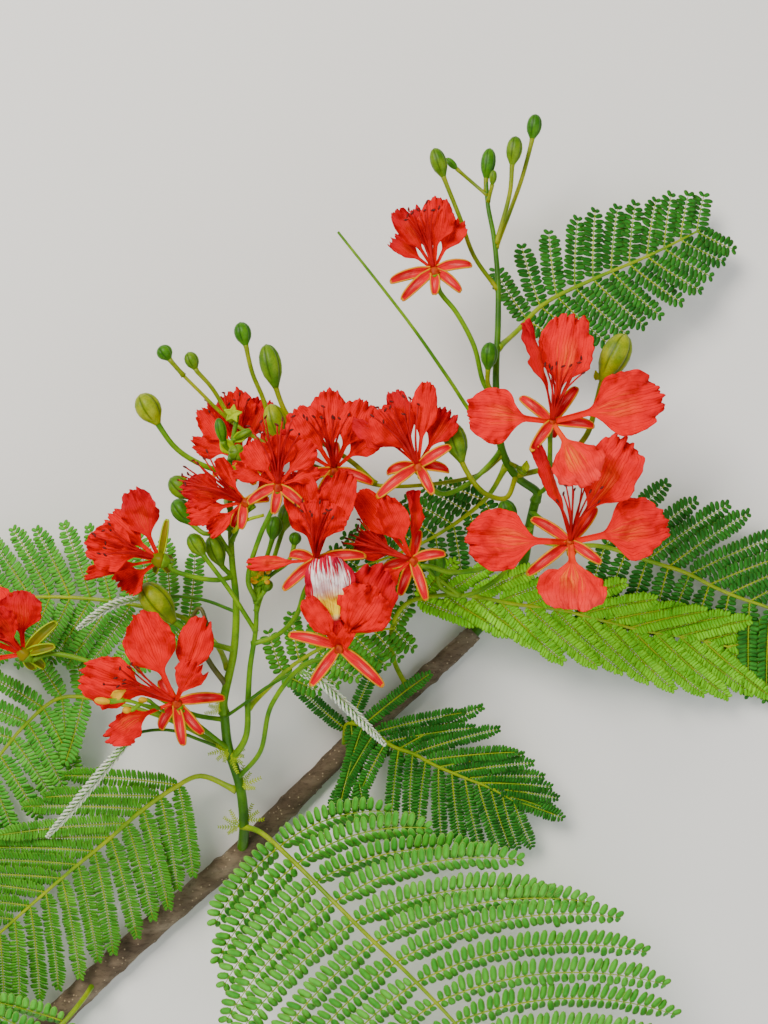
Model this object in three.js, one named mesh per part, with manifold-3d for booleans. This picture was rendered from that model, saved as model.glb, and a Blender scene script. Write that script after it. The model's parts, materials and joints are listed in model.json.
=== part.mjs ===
// Flowering branch of a flame tree, cut and laid on the ground with its blossom uppermost.
// Millimetres, +Z up. A woody branch carries two green shoots, their racemes of buds and scarlet
// blooms, and bipinnate leaves that spread to both sides.
import * as THREE from 'three';
import { mergeVertices } from 'three/addons/utils/BufferGeometryUtils.js';
import Module from 'manifold-3d';

const wasm = await Module();
wasm.setup();

// Driving dimensions
const EYE = 811; // height of the point above the ground that the branch was sized from
const BLOOM_PLANE = 100; // height at which places across and up are true to size
const GAP = 0.3; // clear space where a stem meets the limb that bears it
const BRANCH = { butt: 14.8, tip: 10 }; // diameters of the woody branch
const SHOOT = { foot: 5.8, tip: 4.8 }; // diameters of a green shoot
const RACEME = { foot: 4.6, tip: 2.2 }; // diameters of a flowering stalk
const PEDICEL = 2.6; // diameter of a bloom's own stalk
const BUD_STALK = { wide: 1.9, taper: 0.85, hold: 0.2 }; // diameter, tip's share of it, run into the bud
const PETAL = { claw: 0.13, thick: 1.1 }; // width of the claw as a share of the blade, thickness
const SEPAL = { long: 25, wide: 7.5, thick: 1.2, curl: 35 };
const STAMEN = { long: 38, thick: 1.6, count: 2 };
const CALYX = { long: 9, wide: 9, below: 0.6 }; // below: share of the cup under the petals
const RACHIS = { foot: 3, tip: 1.2 }; // diameters of a leaf's midrib
const PINNA = { fill: 0.86, thick: 1.3, sink: 6 }; // side branch: share of the room, thickness, droop
const PLAIT = { lobes: 9, waist: 0.72, flat: 0.45 }; // a folded young leaf
const SMALLEST = 0.05; // a loose scrap smaller than this volume is dropped
const TOUCH = 0.005; // a cut smaller than this volume is no touch

const KEELED = 3; // sides of a blade that is flat above and keeled below
const LOOKS = 160; // places along a limb that are compared to find its nearest
const STEPS = 400; // places along a route that are tried for its start
const CROWDED = 0.02; // a place nearer than this share of the route to its start is dropped
const STRAIGHT = 4; // how far a limb that carries on from another keeps its direction
const X = new THREE.Vector3(1, 0, 0);
const Z = new THREE.Vector3(0, 0, 1);
const radians = THREE.MathUtils.degToRad;
const mix = THREE.MathUtils.lerp;

// Surfaces
const finishes = {
  bark: new THREE.MeshStandardMaterial({ color: 0x54432f, roughness: 0.9, metalness: 0 }),
  shoot: new THREE.MeshStandardMaterial({ color: 0x76942c, roughness: 0.6, metalness: 0 }),
  leaf: new THREE.MeshStandardMaterial({ color: 0x4f9a3c, roughness: 0.55, metalness: 0 }),
  brightLeaf: new THREE.MeshStandardMaterial({ color: 0x86c232, roughness: 0.55, metalness: 0 }),
  darkLeaf: new THREE.MeshStandardMaterial({ color: 0x2f7a35, roughness: 0.55, metalness: 0 }),
  young: new THREE.MeshStandardMaterial({ color: 0xb9d08a, roughness: 0.6, metalness: 0 }),
  petal: new THREE.MeshStandardMaterial({ color: 0xee2a1c, roughness: 0.5, metalness: 0 }),
};

// A point at a height, on the line from the eye through a place across and up on the bloom plane
function seen(across, up, height) {
  const spread = (EYE - height) / (EYE - BLOOM_PLANE);
  return new THREE.Vector3(across * spread, up * spread, height);
}

const route = (rows) => rows.map((row) => seen(...row));

// Closed skin over a row of stations; each is a centre with its half width and half thickness
function skin(stations, sides) {
  const geometry = new THREE.CylinderGeometry(0, 0, 1, sides, stations.length - 1, true);
  const { position, uv } = geometry.attributes;
  const start = sides === KEELED ? Math.PI / 6 : 0;
  for (let i = 0; i < position.count; i += 1) {
    const station = stations[Math.round((1 - uv.getY(i)) * (stations.length - 1))];
    const turn = (uv.getX(i) % 1) * Math.PI * 2 + start;
    const point = station.at.clone();
    point.addScaledVector(station.across, Math.cos(turn));
    point.addScaledVector(station.over, Math.sin(turn));
    position.setXYZ(i, point.x, point.y, point.z);
  }
  geometry.deleteAttribute('normal');
  geometry.deleteAttribute('uv');
  return geometry;
}

const atPoint = (at) => ({ at, across: new THREE.Vector3(), over: new THREE.Vector3() });

// Library solid of a closed mesh, turned right side out
function solid(geometry) {
  const merged = mergeVertices(geometry);
  const vertProperties = new Float32Array(merged.attributes.position.array);
  const triVerts = new Uint32Array(merged.index.array);
  const make = () => new wasm.Manifold(new wasm.Mesh({ numProp: 3, vertProperties, triVerts }));
  const body = make();
  if (body.volume() > 0) {
    return body;
  }
  for (let i = 0; i < triVerts.length; i += 3) {
    [triVerts[i], triVerts[i + 1]] = [triVerts[i + 1], triVerts[i]];
  }
  return make();
}

// Pieces fused into one body, with any sealed hollow filled and any loose scrap dropped
function fuse(bodies) {
  const whole = wasm.Manifold.union(bodies);
  const parts = whole.decompose().filter((part) => part.volume() > SMALLEST);
  if (parts.length !== 1) {
    throw new Error('a piece is loose from the limb that it grows on');
  }
  return parts[0];
}

// A round limb that tapers along a smooth curve
class Limb {
  constructor(points, foot, tip, { sides = 6, segments = 8 } = {}) {
    this.curve = new THREE.CatmullRomCurve3(points, false, 'centripetal');
    this.foot = foot;
    this.tip = tip;
    this.sides = sides;
    this.segments = segments;
  }

  radius(along) {
    return mix(this.foot, this.tip, along) / 2;
  }

  // Middle of the faceted limb itself, which cuts each bend a little short
  middle(along) {
    const step = Math.min(Math.floor(along * this.segments), this.segments - 1);
    const from = this.curve.getPointAt(step / this.segments);
    return from.lerp(this.curve.getPointAt((step + 1) / this.segments), along * this.segments - step);
  }

  // Distance beyond the bark of the nearest place on the limb, and the limb's direction there
  nearest(point) {
    let best = { clear: Infinity };
    for (let i = 0; i <= LOOKS; i += 1) {
      const along = i / LOOKS;
      const clear = this.curve.getPoint(along).distanceTo(point) - this.radius(along);
      if (clear < best.clear) {
        best = { clear, heading: this.curve.getTangent(along) };
      }
    }
    return best;
  }

  body() {
    const frames = this.curve.computeFrenetFrames(this.segments, false);
    const stations = [];
    for (let i = 0; i <= this.segments; i += 1) {
      const along = i / this.segments;
      stations.push({
        at: this.curve.getPointAt(along),
        across: frames.normals[i].clone().multiplyScalar(this.radius(along)),
        over: frames.binormals[i].clone().multiplyScalar(this.radius(along)),
      });
    }
    stations.unshift(atPoint(stations[0].at));
    stations.push(atPoint(stations[stations.length - 1].at));
    return solid(skin(stations, this.sides));
  }
}

// The part of a stem's route that is clear of the limb that bears it
function clearOf(bearer, points, thick) {
  const whole = new THREE.CatmullRomCurve3(points, false, 'centripetal');
  for (let i = 0; i < STEPS; i += 1) {
    const along = i / STEPS;
    const { clear, heading } = bearer.nearest(whole.getPoint(along));
    const slant = Math.abs(heading.dot(whole.getTangent(along)));
    if (clear >= GAP + (thick / 2) * slant) {
      const kept = points.filter((_, n) => n / (points.length - 1) > along + CROWDED);
      return [whole.getPoint(along), ...kept];
    }
  }
  throw new Error('a stem never leaves its bearer');
}

// Route that carries straight on from a limb's flat tip
function onFrom(bearer, rows) {
  const tip = bearer.curve.getPoint(1);
  const heading = bearer.curve.getTangent(1);
  const away = (far) => tip.clone().addScaledVector(heading, far);
  return [away(GAP), away(STRAIGHT), ...route(rows)];
}

// A bud at the end of its stalk: the last two places are the bud's foot and its point
const BUD_SHAPE = [[0, 0], [0.04, 0.5], [0.42, 1], [0.84, 0.66], [1, 0]];
const BUD_SIDES = 5;

function bud(points, wide, stalk = BUD_STALK.wide) {
  const [foot, tip] = points.slice(-2);
  const axis = tip.clone().sub(foot);
  const across = axis.clone().cross(Math.abs(axis.x) < axis.length() * 0.9 ? X : Z).normalize();
  const over = axis.clone().cross(across).normalize();
  const body = solid(skin(BUD_SHAPE.map(([along, girth]) => ({
    at: foot.clone().addScaledVector(axis, along),
    across: across.clone().multiplyScalar((girth * wide) / 2),
    over: over.clone().multiplyScalar((girth * wide) / 2),
  })), BUD_SIDES));
  const inside = foot.clone().addScaledVector(axis, BUD_STALK.hold);
  const stem = [...points.slice(0, -1), inside];
  const options = { sides: 3, segments: Math.max(2, stem.length - 2) };
  return [new Limb(stem, stalk, stalk * BUD_STALK.taper, options).body(), body];
}

const buds = (rows) => rows.flatMap(([places, wide]) => bud(route(places), wide));

// Direction for a bearing across the page and a lift towards the eye
function aim(bearing, lift) {
  const [turn, rise] = [radians(bearing), radians(lift)];
  return new THREE.Vector3(
    Math.cos(turn) * Math.cos(rise),
    Math.sin(turn) * Math.cos(rise),
    Math.sin(rise),
  );
}

// A thin blade that leaves a point and curls back; shape gives the half width along its length
function blade(from, { bearing, lift, long, wide, curl = 0, roll = 0, out = 0 }, thick, shape) {
  const heading = aim(bearing, lift);
  const side = new THREE.Vector3().crossVectors(Z, heading).normalize();
  side.applyAxisAngle(heading, radians(roll));
  const half = wide / Math.sqrt(KEELED); // so that the flat face is as wide as the blade
  const at = from.clone().addScaledVector(heading, out);
  let before = 0;
  const stations = shape.map(([along, girth]) => {
    const middle = (along + before) / 2;
    const now = heading.clone().applyAxisAngle(side, radians(curl) * middle * middle);
    at.addScaledVector(now, long * (along - before));
    before = along;
    const over = new THREE.Vector3().crossVectors(now, side);
    return {
      at: at.clone(),
      across: side.clone().multiplyScalar(girth * half),
      over: over.multiplyScalar(girth > 0 ? thick / 2 : 0),
    };
  });
  return solid(skin(stations, KEELED));
}

const ROOT = 2; // how far from the middle of the cup a petal or sepal starts
const PETAL_SHAPE = [[0, 0], [0.05, PETAL.claw], [0.28, 0.2], [0.56, 0.94], [0.86, 0.84], [1, 0]];
const SEPAL_SHAPE = [[0, 0], [0.45, 1], [1, 0]];
const STAMEN_SHAPE = [[0, 0], [0.04, 1], [0.6, 1], [1, 0]];

// One bloom on its own stalk: cup, petals, turned-back sepals and a sheaf of stamens
function bloom({ base, stalk, bearer, petals, sepals, stamens }) {
  const foot = seen(...base);
  const bodies = [];
  const facing = new THREE.Vector3();
  for (const [bearing, lift, long, wide, curl = 30, roll = 0] of petals) {
    facing.add(aim(bearing, lift));
    const shape = { bearing, lift, long: long - ROOT, wide, curl, roll, out: ROOT };
    bodies.push(blade(foot, shape, PETAL.thick, PETAL_SHAPE));
  }
  facing.normalize();
  for (const [bearing, lift, share = 1] of sepals) {
    const long = SEPAL.long * share;
    const shape = { bearing, lift, long, wide: SEPAL.wide, curl: SEPAL.curl, out: ROOT };
    bodies.push(blade(foot, shape, SEPAL.thick, SEPAL_SHAPE));
  }
  for (let i = 0; i < STAMEN.count; i += 1) {
    const fan = (i / (STAMEN.count - 1) - 0.5) * stamens.fan;
    const { lift, curl } = stamens;
    const shape = { bearing: stamens.bearing + fan, lift, long: STAMEN.long, wide: STAMEN.thick, curl };
    bodies.push(blade(foot, shape, STAMEN.thick, STAMEN_SHAPE));
  }
  const heel = foot.clone().addScaledVector(facing, -CALYX.long * CALYX.below);
  const brim = heel.clone().addScaledVector(facing, CALYX.long);
  const cup = bud([heel, brim], CALYX.wide, PEDICEL);
  bodies.push(cup[1]);
  const stem = clearOf(bearer, [...route(stalk), heel, foot], PEDICEL);
  const limb = new Limb(stem, PEDICEL, PEDICEL, { sides: 3, segments: stem.length - 1 });
  bodies.push(limb.body());
  return fuse(bodies);
}

const PINNA_SHAPE = [[0, 0], [0.1, 0.8], [0.5, 1], [0.82, 0.76], [1, 0]];
const LAST = 0.985; // share of the midrib where the last pair of side branches stands
const FULL = [0.3, 0.86]; // stretch of a half wave that a leaf's outline follows from foot to tip
const BLUNT = 0.6; // power that fills the outline out
const FOLLOW = 0.5; // how far a side branch takes on the midrib's rise
const NARROWEST = 0.5; // least width of a side branch that leans along the midrib

// Midrib of a leaf
function midrib({ places, bearer }) {
  const points = clearOf(bearer, route(places), RACHIS.foot);
  return new Limb(points, RACHIS.foot, RACHIS.tip, { sides: 3, segments: 8 });
}

// A bipinnate leaf: a midrib with pairs of side branches that lean from base to tip by a rule.
// A side branch that would touch what is already in place is skipped.
function leaf(rib, { first, pairs, long, left, right, outline = FULL }, taken) {
  const bodies = [rib.body()];
  const room = (rib.curve.getLength() * (LAST - first)) / (pairs - 1);
  for (let i = 0; i < pairs; i += 1) {
    const share = i / (pairs - 1);
    const along = mix(first, LAST, share);
    const at = rib.middle(along);
    const heading = rib.curve.getTangentAt(along);
    const bearing = THREE.MathUtils.radToDeg(Math.atan2(heading.y, heading.x));
    const reach = long * Math.sin(Math.PI * mix(...outline, share)) ** BLUNT;
    for (const [atFoot, atTip, part = 1] of [left, right]) {
      const turn = mix(atFoot, atTip, share);
      const shape = {
        bearing: bearing + turn,
        lift: THREE.MathUtils.radToDeg(Math.asin(heading.z)) * FOLLOW,
        long: reach * part,
        wide: room * PINNA.fill * Math.max(Math.abs(Math.sin(radians(turn))), NARROWEST),
        curl: PINNA.sink,
      };
      const body = blade(at, shape, PINNA.thick, PINNA_SHAPE);
      if (body.intersect(taken).volume() < TOUCH) {
        bodies.push(body);
      }
    }
  }
  return fuse(bodies);
}

// A young leaf that is still folded: a stalk and a plaited blade, thick as it is wide
function youngLeaf({ places, bearer, fold, wide }) {
  const points = clearOf(bearer, route(places), BUD_STALK.wide);
  const [bend] = route(fold);
  const stem = new Limb([...points, bend], BUD_STALK.wide, BUD_STALK.wide, { sides: 3 });
  const plait = new THREE.CatmullRomCurve3([points[points.length - 1], ...route(fold)]);
  const { lobes, waist, flat } = PLAIT;
  const stations = [];
  for (let i = 0; i <= lobes; i += 1) {
    const along = i / lobes;
    const heading = plait.getTangentAt(along);
    const side = new THREE.Vector3().crossVectors(Z, heading).normalize();
    const girth = Math.sin(Math.PI * mix(0.12, 1, along)) ** 0.5 * (i % 2 ? 1 : waist);
    const half = i === 0 || i === lobes ? 0 : (girth * wide) / 2;
    stations.push({
      at: plait.getPointAt(along),
      across: side.clone().multiplyScalar(half),
      over: new THREE.Vector3().crossVectors(heading, side).multiplyScalar(half * flat),
    });
  }
  return fuse([stem.body(), solid(skin(stations, 4))]);
}

// Limbs
const branch = new Limb(route([
  [-177, -266, 7.4], [-147, -236, 7.2], [-102, -196, 7], [-71, -170, 6.6], [-42, -141, 6.2],
  [-17, -116, 5.9], [8, -94, 5.6], [28, -76, 5.4], [45, -60, 6],
]), BRANCH.butt, BRANCH.tip, { sides: 10, segments: 16 });

const rightShoot = new Limb(onFrom(branch, [
  [61, -43, 14], [69, -28, 28], [73, -6, 46], [76, 7, 60],
]), SHOOT.foot, SHOOT.tip, { sides: 8, segments: 8 });

const leftShoot = new Limb(clearOf(branch, route([
  [-71, -170, 7], [-70, -157, 24], [-72, -137, 42], [-78, -117, 54], [-80, -99, 62],
]), SHOOT.foot), SHOOT.foot, SHOOT.tip, { sides: 8, segments: 8 });

const leftRaceme = new Limb(onFrom(leftShoot, [
  [-75, -69, 68], [-74, -44, 70], [-76, -24, 72], [-77, 6, 74], [-77, 26, 76], [-73, 50, 78],
]), RACEME.foot, RACEME.tip, { segments: 10 });

const middleRaceme = new Limb(clearOf(leftShoot, route([
  [-76, -124, 51], [-69, -112, 62], [-68, -94, 70], [-67, -78, 74], [-64, -57, 80], [-64, -38, 84],
]), RACEME.foot), RACEME.foot * 0.8, RACEME.tip, { segments: 8 });

const rightRaceme = new Limb(onFrom(rightShoot, [
  [66, 18, 70], [59, 31, 72], [56, 63, 72], [57, 94, 72], [57, 114, 71], [55, 137, 70],
  [52, 153, 69], [51, 166, 68],
]), RACEME.foot, RACEME.tip, { segments: 14 });

const crossStalk = new Limb(clearOf(rightRaceme, route([
  [59, 28, 72], [48, 19, 72], [32, 15, 72], [0, 13, 70], [-16, 17, 68], [-32, 22, 66], [-55, 32, 63],
  [-76, 45, 61], [-94, 62, 64], [-104, 72, 66],
]), RACEME.tip), RACEME.tip, BUD_STALK.wide, { sides: 4, segments: 14 });

const archingStalk = new Limb(clearOf(rightRaceme, route([
  [57, 36, 72], [47, 45, 76], [32, 67, 80], [16, 90, 82], [0, 111, 82], [-23, 140, 80],
]), RACEME.tip), RACEME.tip, 1.4, { sides: 4, segments: 8 });

const curledStalk = new Limb(clearOf(leftRaceme, route([
  [-79, -86, 65], [-86, -77, 74], [-92, -66, 80], [-96, -54, 84], [-92, -48, 86], [-88, -57, 88],
]), 3), 3.2, 1.8, { sides: 5, segments: 12 });

// Buds and bracts, each a stalk's places ending in the bud's foot and point, and the bud's width
const leftBuds = buds([
  [[[-78, 20, 75], [-87, 22, 78], [-99, 28, 80], [-106, 34, 82], [-113, 44, 84], [-122, 59, 87]], 13],
  [[[-76, -22, 72], [-80, -16, 76], [-90, 0, 80], [-96, 7, 82], [-107, 17, 84]], 11],
  [[[-77, -8, 73], [-81, -8, 73], [-89, -11, 70], [-96, -6, 68], [-105, 6, 66]], 11],
  [[[-76, -32, 71], [-81, -27, 75], [-87, -12, 79]], 10],
  [[[-75, -69, 68], [-88, -65, 66], [-105, -55, 64], [-121, -36, 68]], 15.5],
  [[[-77, 26, 76], [-74, 29, 82], [-73, 30, 90]], 9],
  [[[-77, 30, 76], [-80, 34, 79], [-83, 47, 80]], 6],
  [[[-77, 33, 76], [-75, 36, 78], [-66, 41, 80]], 5],
]);
const middleBuds = buds([
  [[[-64, -42, 83], [-64, -38, 84], [-64, -28, 85]], 7],
  [[[-64, -45, 83], [-60, -40, 85], [-57, -34, 86]], 6],
  [[[-64, -46, 83], [-59, -24, 86], [-56, -14, 87], [-54, -2, 88]], 8.5],
  [[[-64, -50, 82], [-56, -26, 80], [-51, -10, 79], [-47, 5, 79]], 9],
  [[[-64, -40, 84], [-57, -32, 85], [-48, -25, 86], [-45, -17, 86], [-44, -10, 86]], 6.5],
  [[[-64, -60, 79], [-78, -38, 85], [-90, -22, 88], [-97, -11, 89]], 9],
]);
const rightBuds = buds([
  [[[51, 160, 68], [51, 166, 68], [53, 182, 68]], 8],
  [[[52, 155, 69], [54, 163, 73], [55, 171, 75]], 4],
  [[[56, 58, 72], [52, 64, 78], [52, 71, 82], [53, 85, 84]], 9],
  [[[66, 18, 70], [61, 7, 78], [51, 9, 84], [44, 16, 87], [39, 25, 88], [33, 45, 89]], 12],
  [[[66, 18, 70], [86, 24, 78], [101, 38, 86], [106, 54, 91], [109, 65, 93], [121, 89, 95]], 15],
  [[[57, 111, 71], [45, 128, 74], [38, 147, 76], [30, 167, 77], [25, 182, 78]], 8.5],
  [[[52, 158, 69], [45, 164, 66], [37, 171, 66], [31, 177, 66]], 4],
  [[[56, 134, 70], [63, 160, 74], [64, 173, 75], [66, 188, 76]], 8.5],
  [[[56, 132, 70], [64, 153, 66], [69, 167, 66], [74, 186, 68], [76, 199, 69]], 8],
  [[[62, 25, 71], [66, 23, 76], [71, 19, 80]], 4],
]);
const crossBuds = buds([
  [[[-100, 68, 65], [-107, 76, 67], [-112, 83, 68]], 8.5],
  [[[-76, 45, 61], [-86, 62, 66], [-94, 71, 68], [-98, 80, 69]], 7.5],
  [[[-58, 33, 63], [-59, 52, 68], [-66, 70, 72], [-69, 83, 74], [-72, 95, 75]], 9],
  [[[-4, 14, 70], [-16, 25, 69], [-36, 38, 69], [-48, 48, 72], [-54, 62, 76], [-59, 84, 77]], 11.5],
  [[[-40, 26, 65], [-48, 30, 69], [-51, 35, 71], [-57, 54, 73]], 12],
]);
const shootBuds = buds([
  [[[-77, -119, 53], [-97, -108, 54], [-122, -96, 57], [-130, -94, 58], [-143, -94, 58]], 3.5],
]);

// Blooms: each petal is its bearing, lift, length, width, curl back and roll; each sepal its
// bearing, lift and share of the full length
const blooms = {
  bloom_a: {
    base: [-104, -95, 90],
    stalk: [[-77, -119, 53], [-86, -112, 66], [-97, -103, 78]],
    bearer: leftShoot,
    petals: [[112, 14, 50, 26], [162, 10, 51, 27], [201, 4, 45, 20, 70, 25], [72, 10, 46, 20],
      [60, 50, 36, 18, 20]],
    sepals: [[275, -12], [308, -20, 0.9], [10, -8], [235, -25, 0.8], [130, -30, 0.8]],
    stamens: { bearing: 148, lift: 30, fan: 26, curl: -30 },
  },
  bloom_b: {
    base: [-112, -24, 82],
    stalk: [[-75, -32, 71], [-83, -34, 76], [-97, -32, 79], [-107, -28, 80]],
    bearer: leftRaceme,
    petals: [[190, 6, 39, 13, 25, 20], [166, 22, 38, 25], [112, 16, 39, 21], [140, 2, 36, 22],
      [214, -20, 30, 18]],
    sepals: [[96, 30, 0.7], [160, -28, 0.7], [236, 6, 0.8], [290, 20, 0.7], [60, -10, 0.7]],
    stamens: { bearing: 158, lift: 34, fan: 24, curl: 10 },
  },
  bloom_c: {
    base: [-25, -64, 104],
    stalk: [[-73, -133, 45], [-62, -120, 62], [-56, -96, 82], [-39, -76, 97]],
    bearer: leftShoot,
    petals: [[97, 20, 48, 24, 10], [46, 28, 33, 24], [118, 34, 36, 16], [68, 12, 43, 22],
      [128, 2, 36, 20]],
    sepals: [[170, 8], [232, 18, 0.8], [320, 6, 1.1], [20, -12, 0.9], [275, -30, 0.8]],
    stamens: { bearing: 84, lift: 44, fan: 30, curl: 20 },
  },
  bloom_d: {
    base: [17, 23, 98],
    stalk: [[58, 30, 72], [51, 22, 76], [42, 14, 76], [30, 9, 80], [21, 14, 88]],
    bearer: rightRaceme,
    petals: [[128, 22, 36, 22], [139, 4, 40, 16, 30, 50], [108, 8, 40, 15], [84, 16, 43, 16],
      [60, -6, 34, 18]],
    sepals: [[212, 12, 0.95], [38, 14, 0.8], [300, 36, 0.6], [180, -20, 0.7], [4, -18, 0.7]],
    stamens: { bearing: 112, lift: 40, fan: 30, curl: 20 },
  },
  bloom_e: {
    base: [25, 121, 90],
    stalk: [[56, 56, 72], [50, 64, 75], [45, 83, 80], [36, 100, 84], [28, 110, 86]],
    bearer: rightRaceme,
    petals: [[124, 12, 36, 15], [87, 18, 36, 21], [105, 2, 33, 18], [64, 0, 31, 16],
      [142, -8, 28, 14]],
    sepals: [[184, -4, 0.9], [218, 14, 0.8], [18, 2, 0.8], [330, 10, 0.6], [270, 24, 0.5]],
    stamens: { bearing: 104, lift: 30, fan: 26, curl: 10 },
  },
  bloom_f: {
    base: [84, 45, 104],
    stalk: [[76, 8, 61], [82, 14, 74], [83, 30, 88], [83, 38, 96]],
    bearer: rightShoot,
    petals: [[80, 10, 54, 29], [102, 26, 54, 12, 20, 40], [174, 16, 43, 29], [14, 14, 56, 32],
      [298, 38, 40, 27, 40]],
    sepals: [[45, -14, 0.9], [134, -10, 0.9], [206, -4, 0.9], [262, 2, 0.8], [340, -8, 0.9]],
    stamens: { bearing: 84, lift: 40, fan: 34, curl: 10 },
  },
  bloom_g: {
    base: [93, -15, 100],
    stalk: [[74, 0, 54], [82, -6, 66], [89, -10, 82]],
    bearer: rightShoot,
    petals: [[62, 12, 59, 29], [107, 22, 54, 16, 20, 30], [178, 12, 53, 32], [12, 12, 50, 32],
      [268, 46, 40, 34, 40]],
    sepals: [[36, -16, 0.9], [142, -14], [215, 0, 1.1], [325, -2, 1.1], [270, -10, 0.9]],
    stamens: { bearing: 86, lift: 44, fan: 34, curl: 10 },
  },
  bloom_h: {
    base: [-25, 21, 79],
    stalk: [[-14, 16, 68], [-20, 17, 73]],
    bearer: crossStalk,
    petals: [[122, 18, 38, 22], [94, 10, 42, 22], [66, 8, 40, 22], [148, 4, 34, 18],
      [42, 0, 32, 18]],
    sepals: [[190, 4, 0.8], [350, 0, 0.8], [236, 6, 0.6], [300, 6, 0.6], [90, -24, 0.7]],
    stamens: { bearing: 98, lift: 46, fan: 30, curl: 14 },
  },
  bloom_i: {
    base: [-34, -24, 99],
    stalk: [[-66, -66, 77], [-54, -62, 81], [-44, -52, 88], [-39, -38, 94]],
    bearer: middleRaceme,
    petals: [[82, 30, 33, 26], [102, 14, 46, 20], [70, 14, 47, 20], [184, 9, 36, 13, 30],
      [126, -2, 34, 18]],
    sepals: [[12, 8], [216, 6, 0.8], [330, 12, 0.8], [160, -24, 0.7], [278, 14, 0.6]],
    stamens: { bearing: 88, lift: 52, fan: 30, curl: 14 },
  },
  bloom_j: {
    base: [14, -24, 84],
    stalk: [[72, -14, 40], [64, -20, 56], [50, -28, 64], [33, -30, 72], [22, -27, 80]],
    bearer: rightShoot,
    petals: [[128, 14, 45, 17], [114, 28, 38, 18], [88, 12, 36, 12, 20, 30], [218, 20, 24, 15],
      [160, -6, 32, 18]],
    sepals: [[20, 10, 0.7], [76, -14, 0.7], [290, 16, 0.8], [250, -16, 0.8], [186, -24, 0.7]],
    stamens: { bearing: 158, lift: 24, fan: 24, curl: 10 },
  },
  bloom_k: {
    base: [-70, 5, 90],
    stalk: [[-76, -14, 73], [-74, -10, 80], [-71, -2, 86]],
    bearer: leftRaceme,
    petals: [[166, 12, 32, 20], [192, 4, 30, 18], [120, 22, 26, 13], [40, -8, 26, 15],
      [222, 10, 24, 14]],
    sepals: [[20, 4, 0.5], [142, -10, 0.6], [262, 10, 0.5], [240, -24, 0.6]],
    stamens: { bearing: 148, lift: 34, fan: 30, curl: 30 },
  },
  bloom_l: {
    base: [-71, 26, 50],
    stalk: [[-77, 2, 74], [-79, 6, 62], [-75, 16, 52]],
    bearer: leftRaceme,
    petals: [[98, 4, 38, 24], [128, 2, 36, 18], [70, 0, 36, 18], [158, -2, 30, 16],
      [34, 0, 30, 16]],
    sepals: [[196, -10, 0.7], [340, -10, 0.7], [240, 0, 0.5], [300, 0, 0.5]],
    stamens: { bearing: 104, lift: 24, fan: 30, curl: 10 },
  },
  bloom_m: {
    base: [-53, 13, 108],
    stalk: [[-64, -44, 83], [-68, -34, 92], [-62, -12, 100], [-55, 3, 104]],
    bearer: middleRaceme,
    petals: [[124, 16, 26, 18], [86, 26, 26, 18], [50, 14, 28, 16], [158, 2, 24, 14],
      [20, 2, 22, 14]],
    sepals: [[200, 10, 0.6], [330, 12, 0.6], [260, 16, 0.5], [104, -10, 0.6]],
    stamens: { bearing: 90, lift: 34, fan: 30, curl: 10 },
  },
  bloom_n: {
    base: [-180, -71, 62],
    stalk: [[-79, -104, 60], [-96, -101, 60], [-120, -89, 62], [-150, -74, 60], [-168, -71, 60]],
    bearer: leftShoot,
    petals: [[96, 12, 34, 24], [140, 10, 40, 26], [186, 8, 42, 26], [232, 12, 38, 24],
      [118, 44, 34, 20]],
    sepals: [[60, 6, 0.9], [20, 24, 0.7], [300, 4, 0.9], [330, -24, 0.8], [0, -34, 0.6]],
    stamens: { bearing: 160, lift: 34, fan: 30, curl: -20 },
  },
};

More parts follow.
